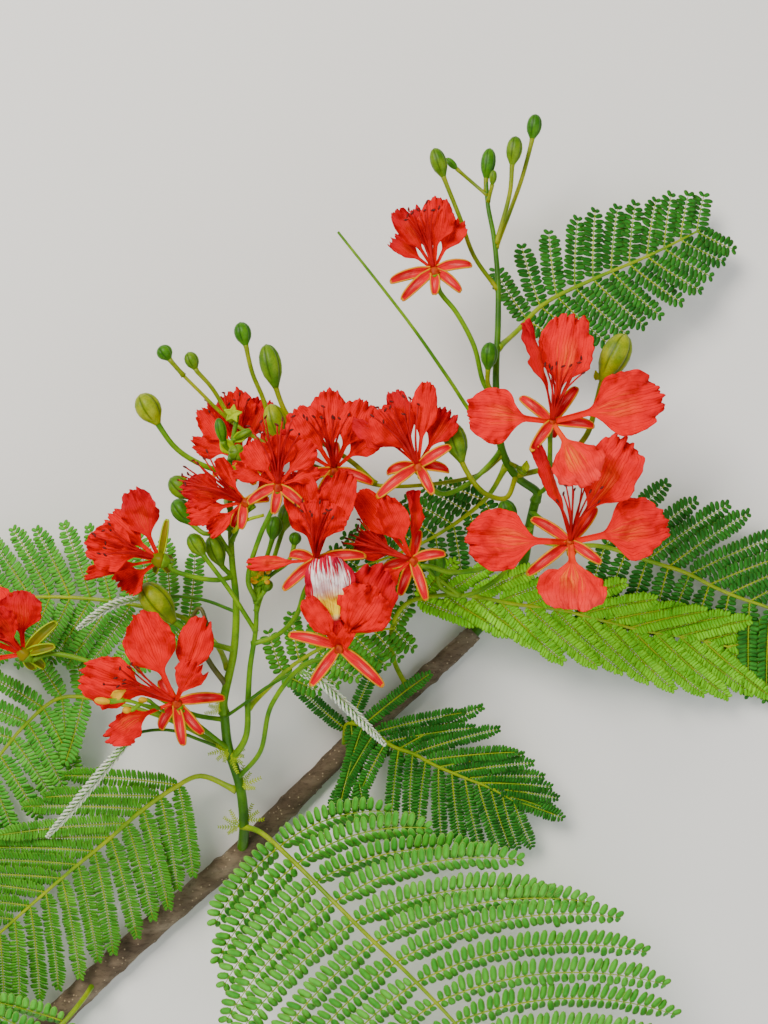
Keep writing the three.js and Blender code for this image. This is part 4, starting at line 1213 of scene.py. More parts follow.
BLOOMS = (
    Bloom("bloom_a", (-104, -95, 90), ((-77, -119, 53), (-86, -112, 66), (-97, -103, 78)),
          ((112, 14, 50, 26), (162, 10, 51, 27), (201, 4, 45, 20, 70, 25), (72, 10, 46, 20),
           (60, 50, 36, 18, 20)),
          ((275, -12), (308, -20, 0.9), (10, -8), (235, -25, 0.8), (130, -30, 0.8)),
          (148, 30, 26, -30), (S, S, C, S, S)),
    Bloom("bloom_b", (-112, -24, 82), ((-75, -32, 71), (-83, -34, 76), (-97, -32, 79), (-107, -28, 80)),
          ((190, 6, 39, 13, 25, 20), (166, 22, 38, 25), (112, 16, 39, 21), (140, 2, 36, 22),
           (214, -20, 30, 18)),
          ((80, 14, 0.85), (170, -55, 0.5), (230, -50, 0.5), (300, -50, 0.45), (30, -50, 0.45)),
          (158, 34, 24, 10), (S, S, M, S, S), sepal_wide=3.4, cup_long=9.5, cup_wide=8.6, turned=True),
    Bloom("bloom_c", (-22.5, -67.5, 104), ((-73, -133, 45), (-62, -120, 62), (-56, -96, 82),
                                           (-39, -76, 97)),
          ((97, 20, 48, 25, 10), (58, 30, 38, 28, 45), (122, 28, 31, 15, 40), (60, 8, 45, 27),
           (80, 2, 40, 22)),
          ((160, 8, 1.05), (230, 18, 0.85), (322, 6, 1.1), (60, -30, 0.6), (275, -72, 0.6)),
          (84, 20, 10, 20), (W, S, S, M, M), claw=0.42, opens=0.05, filament_long=22),
    Bloom("bloom_d", (17, 23, 98), ((58, 30, 72), (51, 22, 76), (42, 14, 76), (30, 9, 80), (21, 14, 88)),
          ((128, 22, 36, 22), (139, 4, 40, 16, 30, 50), (108, 8, 40, 15), (84, 16, 43, 16),
           (60, -6, 34, 18)),
          ((212, 12, 0.95), (38, 14, 0.8), (300, 36, 0.6), (180, -20, 0.7), (4, -18, 0.7)),
          (112, 40, 30, 20), (S, M, M, S, M)),
    Bloom("bloom_e", (25, 121, 90), ((56, 56, 72), (50, 64, 75), (45, 83, 80), (36, 100, 84),
                                     (28, 110, 86)),
          ((124, 12, 36, 15), (87, 18, 36, 21), (105, 2, 33, 18), (64, 0, 31, 16), (142, -8, 28, 14)),
          ((184, -4, 0.9), (218, 14, 0.8), (18, 2, 0.8), (330, 10, 0.6), (270, 24, 0.5)),
          (104, 30, 26, 10), (M, S, M, S, M)),
    Bloom("bloom_f", (84, 45, 104), ((76, 8, 61), (82, 14, 74), (83, 30, 88), (83, 38, 96)),
          ((80, 10, 54, 29), (102, 26, 54, 12, 20, 40), (174, 16, 43, 29), (14, 14, 56, 32),
           (298, 38, 40, 27, 40)),
          ((56, -8), (134, -10, 0.9), (226, 46, 0.8), (4, 2, 0.85), (285, -50, 0.5)),
          (84, 40, 34, 10), (C, M, C, C, F)),
    Bloom("bloom_g", (93, -15, 100), ((74, 0, 54), (82, -6, 66), (89, -10, 82)),
          ((62, 12, 59, 29), (107, 22, 54, 13, 20, 30), (178, 12, 53, 32), (12, 12, 50, 32),
           (268, 46, 40, 34, 40)),
          ((54, -8), (142, -14), (213, 0), (335, 20, 0.65), (285, -50, 0.5)),
          (86, 44, 34, 10), (C, M, C, C, F)),
    Bloom("bloom_h", (-25, 21, 79), ((-14, 16, 68), (-20, 17, 73)),
          ((122, 18, 38, 22), (94, 10, 42, 22), (66, 8, 40, 22), (148, 4, 34, 18), (42, 0, 32, 18)),
          ((190, 4, 0.8), (350, 0, 0.8), (236, 6, 0.6), (300, 6, 0.6), (90, -24, 0.7)),
          (98, 46, 30, 14), (S, S, S, M, S)),
    Bloom("bloom_i", (-34, -24, 99), ((-66, -66, 77), (-54, -62, 81), (-44, -52, 88), (-39, -38, 94)),
          ((82, 30, 33, 26), (102, 14, 46, 20), (70, 14, 47, 20), (184, 9, 36, 13, 30),
           (106, -4, 34, 18)),
          ((12, 8), (216, 6, 0.8), (330, 12, 0.8), (160, -24, 0.7), (278, 14, 0.6)),
          (88, 52, 30, 14), (S, S, S, C, S)),
    Bloom("bloom_j", (14, -24, 84), ((72, -14, 40), (64, -20, 56), (50, -28, 64), (33, -30, 72),
                                     (22, -27, 80)),
          ((128, 14, 45, 17), (114, 28, 38, 18), (88, 12, 36, 12, 20, 30), (218, 20, 24, 15),
           (160, -6, 32, 18)),
          ((20, 10, 0.7), (76, -14, 0.7), (290, 16, 0.8), (250, -16, 0.8), (186, -24, 0.7)),
          (158, 24, 24, 10), (S, S, M, S, S)),
    Bloom("bloom_k", (-70, 5, 90), ((-76, -14, 73), (-74, -10, 80), (-71, -2, 86)),
          ((166, 12, 32, 20), (192, 4, 30, 18), (120, 22, 26, 13), (40, -8, 26, 15), (222, 10, 24, 14)),
          ((20, 4, 0.5), (142, -10, 0.6), (262, 10, 0.5), (240, -24, 0.6)),
          (148, 34, 30, 30), (M, S, S, M, S)),
    Bloom("bloom_l", (-71, 26, 50), ((-77, 2, 74), (-79, 6, 62), (-75, 16, 52)),
          ((98, 4, 38, 24), (128, 2, 36, 18), (70, 0, 36, 18), (158, -2, 30, 16), (34, 0, 30, 16)),
          ((196, -10, 0.7), (340, -10, 0.7), (240, 0, 0.5), (300, 0, 0.5)),
          (104, 24, 30, 10), (S, S, M, S, S)),
    Bloom("bloom_m", (-53, 13, 108), ((-64, -44, 83), (-68, -34, 92), (-62, -12, 100), (-55, 3, 104)),
          ((124, 16, 26, 18), (86, 26, 26, 18), (50, 14, 28, 16), (158, 2, 24, 14), (20, 2, 22, 14)),
          ((200, 10, 0.6), (330, 12, 0.6), (260, 16, 0.5), (104, -10, 0.6)),
          (90, 34, 30, 10), (S,)),
    Bloom("bloom_n", (-180, -71, 62), ((-79, -104, 60), (-96, -101, 60), (-120, -89, 62), (-150, -74, 60),
                                       (-168, -71, 60)),
          ((92, 12, 34, 24), (124, 10, 40, 26), (158, 8, 42, 26), (188, 12, 36, 22), (118, 44, 34, 20)),
          ((48, 8, 1.0), (24, 16, 0.7), (330, -30, 0.5), (290, -40, 0.5), (70, -40, 0.5)),
          (130, 34, 30, -20), (M, S, M, S, M), cup_long=9, cup_wide=8, turned=True),
)

# for each limb its buds: the places of stalk and bud, and the bud's width in mm
BUDS = {
    "raceme_left": (
        (((-78, 20, 75), (-87, 22, 78), (-99, 28, 80), (-106, 34, 82), (-113, 44, 84), (-122, 59, 87)), 13),
        (((-76, -22, 72), (-80, -16, 76), (-90, 0, 80), (-96, 7, 82), (-107, 17, 84)), 11),
        (((-77, -8, 73), (-81, -8, 73), (-89, -11, 70), (-96, -6, 68), (-105, 6, 66)), 11),
        (((-76, -32, 71), (-81, -27, 75), (-87, -12, 79)), 10),
        (((-75, -69, 68), (-88, -65, 66), (-105, -55, 64), (-121, -36, 68)), 15.5),
        (((-77, 26, 76), (-74, 29, 82), (-73, 30, 90)), 9),
        (((-77, 30, 76), (-80, 34, 79), (-83, 47, 80)), 6),
        (((-77, 33, 76), (-75, 36, 78), (-66, 41, 80)), 5)),
    "raceme_middle": (
        (((-64, -42, 83), (-64, -38, 84), (-64, -28, 85)), 7),
        (((-64, -45, 83), (-60, -40, 85), (-57, -34, 86)), 6),
        (((-64, -46, 83), (-59, -24, 86), (-56, -14, 87), (-54, -2, 88)), 8.5),
        (((-64, -50, 82), (-56, -26, 80), (-51, -10, 79), (-47, 5, 79)), 9),
        (((-64, -40, 84), (-57, -32, 85), (-48, -25, 86), (-45, -17, 86), (-44, -10, 86)), 6.5),
        (((-64, -60, 79), (-78, -38, 85), (-90, -22, 88), (-97, -11, 89)), 9)),
    "raceme_right": (
        (((51, 160, 68), (51, 166, 68), (53, 182, 68)), 8),
        (((52, 155, 69), (54, 163, 73), (55, 171, 75)), 4),
        (((56, 58, 72), (52, 64, 78), (52, 71, 82), (53, 85, 84)), 9),
        (((66, 18, 70), (61, 7, 78), (51, 9, 84), (44, 16, 87), (39, 25, 88), (33, 45, 89)), 12),
        (((66, 18, 70), (86, 24, 78), (101, 38, 86), (106, 54, 91), (109, 65, 93), (121, 89, 95)), 15),
        (((57, 111, 71), (45, 128, 74), (38, 147, 76), (30, 167, 77), (25, 182, 78)), 8.5),
        (((52, 158, 69), (45, 164, 66), (37, 171, 66), (31, 177, 66)), 4),
        (((56, 134, 70), (63, 160, 74), (64, 173, 75), (66, 188, 76)), 8.5),
        (((56, 132, 70), (64, 153, 66), (69, 167, 66), (74, 186, 68), (76, 199, 69)), 8),
        (((62, 25, 71), (66, 23, 76), (71, 19, 80)), 4)),
    "stalk_cross": (
        (((-100, 68, 65), (-107, 76, 67), (-112, 83, 68)), 8.5),
        (((-76, 45, 61), (-86, 62, 66), (-94, 71, 68), (-98, 80, 69)), 7.5),
        (((-58, 33, 63), (-59, 52, 68), (-66, 70, 72), (-69, 83, 74), (-72, 95, 75)), 9),
        (((-4, 14, 70), (-16, 25, 69), (-36, 38, 69), (-48, 48, 72), (-54, 62, 76), (-59, 84, 77)), 11.5),
        (((-40, 26, 65), (-48, 30, 69), (-51, 35, 71), (-57, 54, 73)), 12)),
    "shoot_left": (
        (((-77, -119, 53), (-97, -108, 54), (-122, -96, 57), (-130, -94, 58), (-143, -94, 58)), 3.5),),
}


@dataclass
class GreenLimb:
    """A green shoot or flowering stalk with its buds, faintly ridged and swollen at its foot."""

    name: str
    limb: Limb
    step: float = 1.6  # mm between stations
    swell: float = 0.35  # of the foot, as a share of the radius
    ridge: float = 0.018  # height of a ridge, as a share of the radius
    big: float = 11.0  # width in mm over which a bud has a riper green

    def _radius(self, share: float, turn: float) -> float:
        """Give the limb's radius in metres at a share of its length and a turn."""
        far = share * self.limb.spine.mm
        size = mix(self.limb.foot, self.limb.tip, share) / 2
        grow = self.swell * math.exp(-far / (size * 1.1)) + self.ridge * math.cos(turn * 6 + far * 0.05)
        return size * (1 + grow) * MM

    def build(self, finishes: Finishes) -> None:
        """Make the piece of the limb and its buds."""
        bm = bmesh.new()
        sweep(bm, self.limb.spine.stations(self.step, 6), 20, self._radius)
        for n, (places, wide) in enumerate(BUDS.get(self.name, ())):
            kind = (3 if n % 2 else 4) if wide > self.big else 2 + n % 2
            Bud(places, wide).build(bm, 1, kind)
        skins = {"stalk_curled": finishes.olive, "stalk_cross": finishes.ripe,
                 **dict.fromkeys(("raceme_right", "shoot_left", "shoot_right"), finishes.shoot)}
        thick = skins.get(self.name, finishes.stalk)
        thin = finishes.ripe if self.name in ("stalk_cross", "raceme_right") else finishes.stalk
        finish_piece(f"{self.name}_stem", bm, [thick, thin, *finishes.buds], [self.name])


class Leaflet:
    """The one small blade that every leaf is made of: oblong, round-tipped, folded a little."""

    def __init__(self) -> None:
        """Lay out the rim and the midrib, above and below."""
        rows = ((0.0, 0.0), (0.1, 0.74), (0.36, 1.0), (0.7, 0.97), (0.93, 0.6), (1.0, 0.0),
                (0.93, -0.6), (0.7, -0.97), (0.36, -1.0), (0.1, -0.74))
        rim = [(x, y * 0.5, 0.11 * abs(y)) for x, y in rows]
        top = [(0.28, 0.0, 0.03), (0.76, 0.0, 0.025)]
        low = [(0.28, 0.0, -0.03), (0.76, 0.0, -0.03)]
        self.points = np.array([*rim, *top, *low])
        self.rim = np.array([1.0] * len(rim) + [0.0] * 4)
        faces = []
        for near, far, flip in ((10, 11, True), (12, 13, False)):
            half = [(0, 1, near), (1, 2, near), (2, far, near), (2, 3, far), (3, 4, far), (4, 5, far),
                    (5, 6, far), (6, 7, far), (7, 8, far), (8, near, far), (8, 9, near), (9, 0, near)]
            faces += [(a, c, b) if flip else (a, b, c) for a, b, c in half]
        self.faces = np.array(faces, np.int32)

    def place(self, at: np.ndarray, out: np.ndarray, side: np.ndarray, over: np.ndarray,
              long: float, wide: float) -> np.ndarray:
        """Put the blade somewhere.

        Args:
            at: its foot.
            out: the way that it points.
            side: the way across it.
            over: the way that its upper face looks.
            long: its length in metres.
            wide: its width in metres.

        Returns:
            Its points.
        """
        local = self.points * np.array([long, wide, wide])
        return at + local @ np.array([out, side, over])


LEAFLET = Leaflet()


def tube(heap: Heap, line: np.ndarray, over: np.ndarray, foot: float, tip: float, slot: int,
         sides: int = 5) -> None:
    """Add a thin closed tube along a row of points.

    Args:
        heap: the pieces that it joins.
        line: its points in metres.
        over: a direction roughly square to it.
        foot: its diameter at the foot, in mm.
        tip: its diameter at the tip, in mm.
        slot: its material.
        sides: how many sides it has.
    """
    steps = unit(np.gradient(line, axis=0))
    across = unit(np.cross(steps, over))
    rise = np.cross(across, steps)
    turns = np.linspace(0, 2 * np.pi, sides, endpoint=False)
    radii = np.linspace(foot, tip, len(line))[:, None, None] / 2 * MM
    rings = line[:, None] + radii * (np.cos(turns)[None, :, None] * across[:, None]
                                     + np.sin(turns)[None, :, None] * rise[:, None])
    points = np.concatenate([rings.reshape(-1, 3), line[:1], line[-1:]])
    faces = []
    last = len(line) - 1
    for n in range(last):
        for k in range(sides):
            a, b = n * sides + k, n * sides + (k + 1) % sides
            faces += [(a, b, b + sides), (a, b + sides, a + sides)]
    ends = len(line) * sides
    for k in range(sides):
        after = (k + 1) % sides
        faces += [(ends, after, k), (ends + 1, last * sides + k, last * sides + after)]
    heap.add(points, np.array(faces, np.int32), slot)


class Crowd:
    """What is already in place, so that leaflets keep clear of it."""

    STEP = 2  # mm between the samples of a limb

    def __init__(self, limbs: Iterable[Limb]) -> None:
        """Sample the limbs."""
        points, sizes = [], []
        for limb in limbs:
            count = max(4, int(limb.spine.mm / self.STEP))
            for n in range(count + 1):
                points.append(limb.spine.at(n / count))
                sizes.append(limb.radius(n / count))
        self.points = np.array(points)
        self.sizes = np.array(sizes)

    def free(self, spots: np.ndarray, room: float) -> bool:
        """Tell whether spots are all further than a room from every limb."""
        gaps = np.linalg.norm(self.points[:, None] - spots[None], axis=2) - self.sizes[:, None]
        return bool(gaps.min() > room)


@dataclass
class Leaf:
    """A leaf twice divided: a midrib, pairs of side branches, and pairs of leaflets on each."""

    name: str
    places: Rows
    first: float  # share of the midrib where the side branches start
    long: float  # longest side branch, mm
    # lean of the left side branches at the leaf's foot and tip in degrees, and their share of the length
    left: tuple[float, ...]
    right: tuple[float, ...]
    tint: Tint
    spacing: float = 12.0  # of the side branches, mm
    pitch: float = 2.6  # of the leaflets, mm
    blade: float = 6.5  # length of a leaflet, mm
    outline: tuple[float, float] = (0.3, 0.86)  # the stretch of the leaf's oval that it has
    rows: tuple[float, float] = (7, -16)  # rise of the leaflets towards the leaf's foot and tip, degrees
    bend: tuple[float, float] = (8, 8)  # bend of the left and right side branches towards the tip, degrees
    plump: float = 1.06  # width of a leaflet as a share of the pitch
    broad: float = 0.62  # and at most as a share of its length
    slant: tuple[float, float] = (82, 70)  # lean of the leaflets at a side branch's foot and tip, degrees
    sink: float = 6  # droop of a side branch, degrees
    last: float = 0.985  # share of the midrib where the side branches end
    gap: float = 0.8  # room that a leaflet keeps from every limb, mm
    hover: tuple[float, float] = (0.2, 1.3)  # least heights of the leaflets over the ground, mm
    flutter: float = 5.0  # how unevenly the leaflets rise, degrees
    rib: tuple[float, float] = (3.0, 1.2)  # diameters of the midrib, mm
    side_rib: tuple[float, float] = (1.0, 0.44)  # diameters of a side branch, mm
    steps: int = 14  # in which a side branch is laid out

    def _line(self, foot: Vector, bearing: float, lift: float, reach: float, bend: float,
              rng: random.Random) -> tuple[np.ndarray, list[tuple[np.ndarray, ...]]]:
        """Lay out one side branch.

        Args:
            foot: where it leaves the midrib.
            bearing: its way across the page, in degrees.
            lift: its rise, in degrees.
            reach: its length in mm.
            bend: how far it bends sideways, in degrees.
            rng: gives its own irregularity.

        Returns:
            Its points, and for each of its steps the heading, the side and the over direction.
        """
        at = np.array(foot)
        droop = self.sink + rng.uniform(-4, 4)
        twist = rng.uniform(-8, 8)
        line, frames = [at], []
        for n in range(self.steps + 1):
            share = (n + 0.5) / self.steps
            heading = aim(bearing + bend * (share - 0.5), lift - droop * share * share)
            side = Vector((0, 0, 1)).cross(heading).normalized()
            side = Matrix.Rotation(math.radians(twist), 3, heading) @ side
            frames.append((np.array(heading), np.array(side), np.array(heading.cross(side))))
            at = at + np.array(heading) * (reach * MM / self.steps)
            line.append(at)
        return np.array(line[:-1]), frames

    def _dress(self, leaflets: Heap, line: np.ndarray, frames: list[tuple[np.ndarray, ...]], reach: float,
               hand: int, rng: random.Random, crowd: Crowd) -> None:
        """Set the leaflets along one side branch.

        Args:
            leaflets: the leaflets that its own join.
            line: its points.
            frames: its directions.
            reach: its length in mm.
            hand: 1 on the left of the leaf, -1 on the right.
            rng: gives its own irregularity.
            crowd: what it keeps clear of.
        """
        tint = rng.choices((0, 1, 2), (5, 4, 3))[0]  # one of the three light greens
        pairs = max(4, round(reach * 0.98 / self.pitch))
        for n in range(pairs):
            share = (n + 0.8) / pairs
            where = min(share, 0.999) * self.steps
            low = min(int(where), self.steps - 1)
            spot = line[low] + (line[low + 1] - line[low]) * (where - low)
            heading, side, over = frames[low]
            taper = (0.6 + 0.4 * smooth(0, 0.14, share)) * (1 - 0.42 * smooth(0.82, 1.02, share))
            for row in (1, -1):
                long = self.blade * taper * rng.uniform(0.94, 1.05)
                wide = min(self.pitch * self.plump, long * self.broad)
                lean = mix(*self.slant, share) - 30 * smooth(0.88, 1, share) + rng.uniform(-4, 4)
                lean = math.radians(lean)
                rise = math.radians(self.rows[0 if row == hand else 1] + rng.gauss(0, self.flutter))
                level = heading * math.cos(lean) + side * (row * math.sin(lean))
                out = level * math.cos(rise) + over * math.sin(rise)
                cross = unit(np.cross(over, out))
                begin = spot + level * (0.2 * MM)
                tips = np.array([begin + out * (long * MM * part) for part in (0.35, 1.0)])
                if not crowd.free(tips, self.gap * MM):
                    continue
                points = LEAFLET.place(begin, out, cross, np.cross(out, cross), long * MM, wide * MM)
                under = mix(*self.hover, rng.random()) * MM - float(points[:, 2].min())
                leaflets.add(points + np.array([0, 0, max(under, 0.0)]), LEAFLET.faces, tint, LEAFLET.rim)

    def build(self, finishes: Finishes, crowd: Crowd) -> None:
        """Make the leaf's pieces.

        Args:
            finishes: the materials.
            crowd: what it keeps clear of.
        """
        rng = random.Random(self.name)
        spine = Spine(PAGE.route(self.places))
        leaflets, ribs = Heap(), Heap()
        pairs = round(spine.mm * (self.last - self.first) / self.spacing) + 1
        for n in range(pairs):
            share = n / (pairs - 1)
            along = mix(self.first, self.last, share)
            heading = spine.heading(along)
            bearing = math.degrees(math.atan2(heading.y, heading.x))
            reach = self.long * math.sin(math.pi * mix(*self.outline, share)) ** 0.6
            for lean, bend, hand in ((self.left, self.bend[0], 1), (self.right, self.bend[1], -1)):
                turn = mix(lean[0], lean[1], share) + rng.uniform(-2.5, 2.5)
                long = reach * (lean[2] if len(lean) > 2 else 1) * rng.uniform(0.95, 1.02)
                line, frames = self._line(
                    spine.at(along), bearing + turn, math.degrees(math.asin(heading.z)) * 0.5
                    + rng.uniform(-3, 3), long, -hand * bend, rng)
                tube(ribs, line, frames[0][2], *self.side_rib, 0)
                self._dress(leaflets, line, frames, long, hand, rng, crowd)
        finish_piece(f"{self.name}_leaflets", leaflets, finishes.leaves[self.tint], [self.name])
        finish_piece(f"{self.name}_side_ribs", ribs, [finishes.rib])
        bm = bmesh.new()

        def radius(share: float, _turn: float) -> float:
            """Give the midrib's radius, swollen at its foot."""
            return mix(*self.rib, share) / 2 * (1 + 0.6 * math.exp(-share * spine.mm / 3.5)) * MM

        sweep(bm, spine.stations(3, 12), 10, radius)
        finish_piece(f"{self.name}_midrib", bm, [finishes.rib])


LEAVES = (
    Leaf("leaf_front", ((-71, -157, 24), (-62, -160, 34), (-46, -174, 50), (-26, -194, 64),
         (-8, -212, 71), (13, -232, 74), (35, -255, 72), (60, -284, 62), (84, -314, 48)),
         0.12, 122, (57, 46), (-97, -80, 0.78), Tint.FRONT, spacing=15.0, pitch=3.95, blade=8.8,
         outline=(0.12, 0.86), rows=(6, -38), bend=(42, 26), plump=0.96),
    Leaf("leaf_corner", ((-145, -235, 8), (-150, -243, 26), (-162, -257, 38), (-180, -272, 46),
         (-205, -290, 48), (-233, -309, 42), (-258, -328, 32)),
         0.2, 54, (64, 46), (-66, -48), Tint.FRONT, pitch=3.8, blade=7, rows=(4, -40)),
    Leaf("leaf_low_left", ((-74, -139, 40), (-92, -132, 36), (-105, -138, 34), (-122, -150, 32),
         (-138, -164, 30), (-155, -178, 28), (-177, -197, 25), (-200, -218, 20),
         (-222, -241, 14)), 0.16, 72, (68, 44, 0.8), (-36, -50), Tint.MID,
         pitch=1.55, blade=5.6),
    Leaf("leaf_mid_left", ((-77, -119, 53), (-107, -104, 38), (-137, -95, 30), (-162, -93, 26),
         (-179, -106, 24), (-194, -124, 21), (-210, -143, 16), (-226, -163, 10)),
         0.42, 42, (80, 56), (-70, -50), Tint.FRONT, pitch=2.1, blade=6.2),
    Leaf("leaf_high_left", ((-78, -78, 66), (-84, -66, 52), (-98, -54, 42), (-122, -47, 34),
         (-152, -43, 28), (-182, -43, 22), (-212, -48, 15), (-236, -56, 9)),
         0.2, 44, (70, 50), (-70, -50), Tint.FRONT, pitch=2.1, blade=6),
    Leaf("leaf_bright", ((13, -90, 6), (5, -74, 24), (4, -58, 34), (11, -46, 39), (25, -42, 42),
         (43, -42, 44), (65, -46, 45), (88, -49, 41), (128, -59, 32), (158, -64, 23),
         (186, -71, 13)), 0.27, 56, (32, 20, 0.8), (-34, -26), Tint.BRIGHT,
         spacing=15.0, pitch=1.7, blade=5.4, outline=(0.16, 0.72), rows=(3, -6), plump=1.3),
    Leaf("leaf_lower", ((-20, -119, 6), (-18, -106, 22), (-8, -108, 30), (4, -117, 33), (15, -121, 34),
         (24, -126, 34), (38, -132, 32), (53, -138, 28), (66, -145, 22)),
         0.14, 50, (60, 10), (-96, -36), Tint.PAINTED_SHADOW, spacing=8.0, pitch=1.7, blade=4.6),
    Leaf("leaf_right", ((72, -13, 42), (90, -17, 42), (108, -17, 38), (134, -25, 31), (150, -30, 28),
         (166, -38, 24), (178, -43, 21), (190, -47, 18), (218, -59, 12), (244, -74, 7)),
         0.2, 56, (54, 34), (-92, -56), Tint.PAINTED_SHADOW, spacing=13.5, pitch=2.5),
    Leaf("leaf_middle", ((-68, -98, 68), (-60, -90, 58), (-46, -77, 50), (-27, -66, 44), (-8, -60, 40),
         (6, -58, 36)), 0.3, 26, (70, 50), (-70, -50), Tint.MID, spacing=11.0, blade=5.5),
    Leaf("leaf_upper", ((57, 82, 72), (66, 90, 60), (80, 104, 50), (106, 117, 42), (132, 128, 34),
         (158, 141, 24)), 0.2, 38, (70, 48), (-74, -50), Tint.PAINTED_SHADOW, blade=6.2),
    Leaf("leaf_behind", ((61, 23, 71), (52, 8, 57), (38, -4, 46), (22, -14, 40), (4, -22, 36),
         (-14, -28, 32)), 0.24, 30, (70, 50), (-70, -50), Tint.PAINTED_SHADOW, spacing=11.0,
         blade=5.5),
)


@dataclass
class YoungLeaf:
    """A young leaf still folded: its pale leaflets lie along it like the strands of a plait."""

    name: str
    stalk: Rows
    fold: Rows
    wide: float  # mm
    strand: float = 1.7  # spacing of the strands, mm
    strands: int = 5  # strands round the plait
    core: tuple[float, float] = (0.38, 0.1)  # diameters of the core at its ends, as shares of the width
    along: float = 0.8  # how far a strand runs along the plait, to how far it runs round
    around: float = 0.6
    stalk_thick: float = 1.9

    def build(self, finishes: Finishes) -> None:
        """Make the young leaf's piece."""
        rng = random.Random(self.name)
        heap = Heap()
        stem = Spine([*PAGE.route(self.stalk), PAGE.seen(self.fold[0])])
        up = np.array([0.0, 0.0, 1.0])
        line = np.array([stem.at(n / 20) for n in range(21)])
        tube(heap, line, up, self.stalk_thick, self.stalk_thick / 1.2, 1, 8)
        plait = Spine([PAGE.seen(self.stalk[-1]), *PAGE.route(self.fold)])
        core = np.array([plait.at(n / 24) for n in range(25)])
        tube(heap, core, up, *(self.wide * part for part in self.core), 2, 10)
        count = round(plait.mm / self.strand)
        for n in range(count):
            share = n / count
            heading = np.array(plait.heading(share))
            side = unit(np.cross(up, heading))
            over = np.cross(heading, side)
            girth = math.sin(math.pi * mix(0.16, 0.97, share)) ** 0.6
            spot = np.array(plait.at(share))
            for row in range(self.strands):
                turn = (row + 0.5 * (n % 2)) / self.strands * 2 * math.pi + 0.1 * n
                outward = side * math.cos(turn) + over * math.sin(turn)
                out = heading * self.along + np.cross(heading, outward) * self.around
                out = unit(out + outward * rng.uniform(-0.06, 0.04))
                cross = unit(np.cross(outward, out))
                at = spot + outward * (self.wide * 0.17 * girth * MM)
                heap.add(LEAFLET.place(at, out, cross, np.cross(out, cross), self.wide * 0.5 * girth * MM,
                                       self.strand * 0.7 * MM), LEAFLET.faces, 0)
        finish_piece(f"{self.name}_plait", heap, [finishes.young, finishes.shoot, finishes.folded],
                     [self.name])


YOUNG_LEAVES = (
    YoungLeaf("young_leaf_right", ((-80, -103, 61), (-70, -96, 72), (-56, -86, 78), (-42, -80, 82)),
              ((-32, -85, 84), (-19, -97, 84), (1, -117, 80)), 9),
    YoungLeaf("young_leaf_low", ((-77, -120, 52), (-92, -114, 60), (-108, -109, 64), (-126, -112, 66)),
              ((-142, -131, 66), (-156, -148, 63), (-169, -163, 58)), 9),
    YoungLeaf("young_leaf_left", ((-74, -50, 70), (-90, -44, 60), (-108, -42, 50), (-122, -43, 46)),
              ((-132, -45, 45), (-142, -50, 44), (-154, -59, 44)), 8),
)


@dataclass
class Scale:
    """A small bract: a pointed, hollowed scale."""

    place: Place
    bearing: float  # as a petal's
    lift: float
    long: float  # mm
    wide: float  # mm
    slot: int = 0
    curl: float = 20

    def build(self, bm: bmesh.types.BMesh) -> None:
        """Make the scale."""
        line = Bend(PAGE.seen(self.place), self.bearing, self.lift, self.long, self.curl)

        def place(across: float, along: float) -> Vector:
            """Give the point for a place across and along."""
            girth = (0.5 + 0.5 * smooth(0, 0.35, along)) * (1 - smooth(0.4, 1.0, along) * 0.93)
            half = self.wide / 2 * girth * MM
            at, side, over = line.at(along)
            return at + side * (across * half) + over * (0.5 * across * across * half)

        grid_blade(bm, 8, 10, place, lambda _across, _along: self.slot)


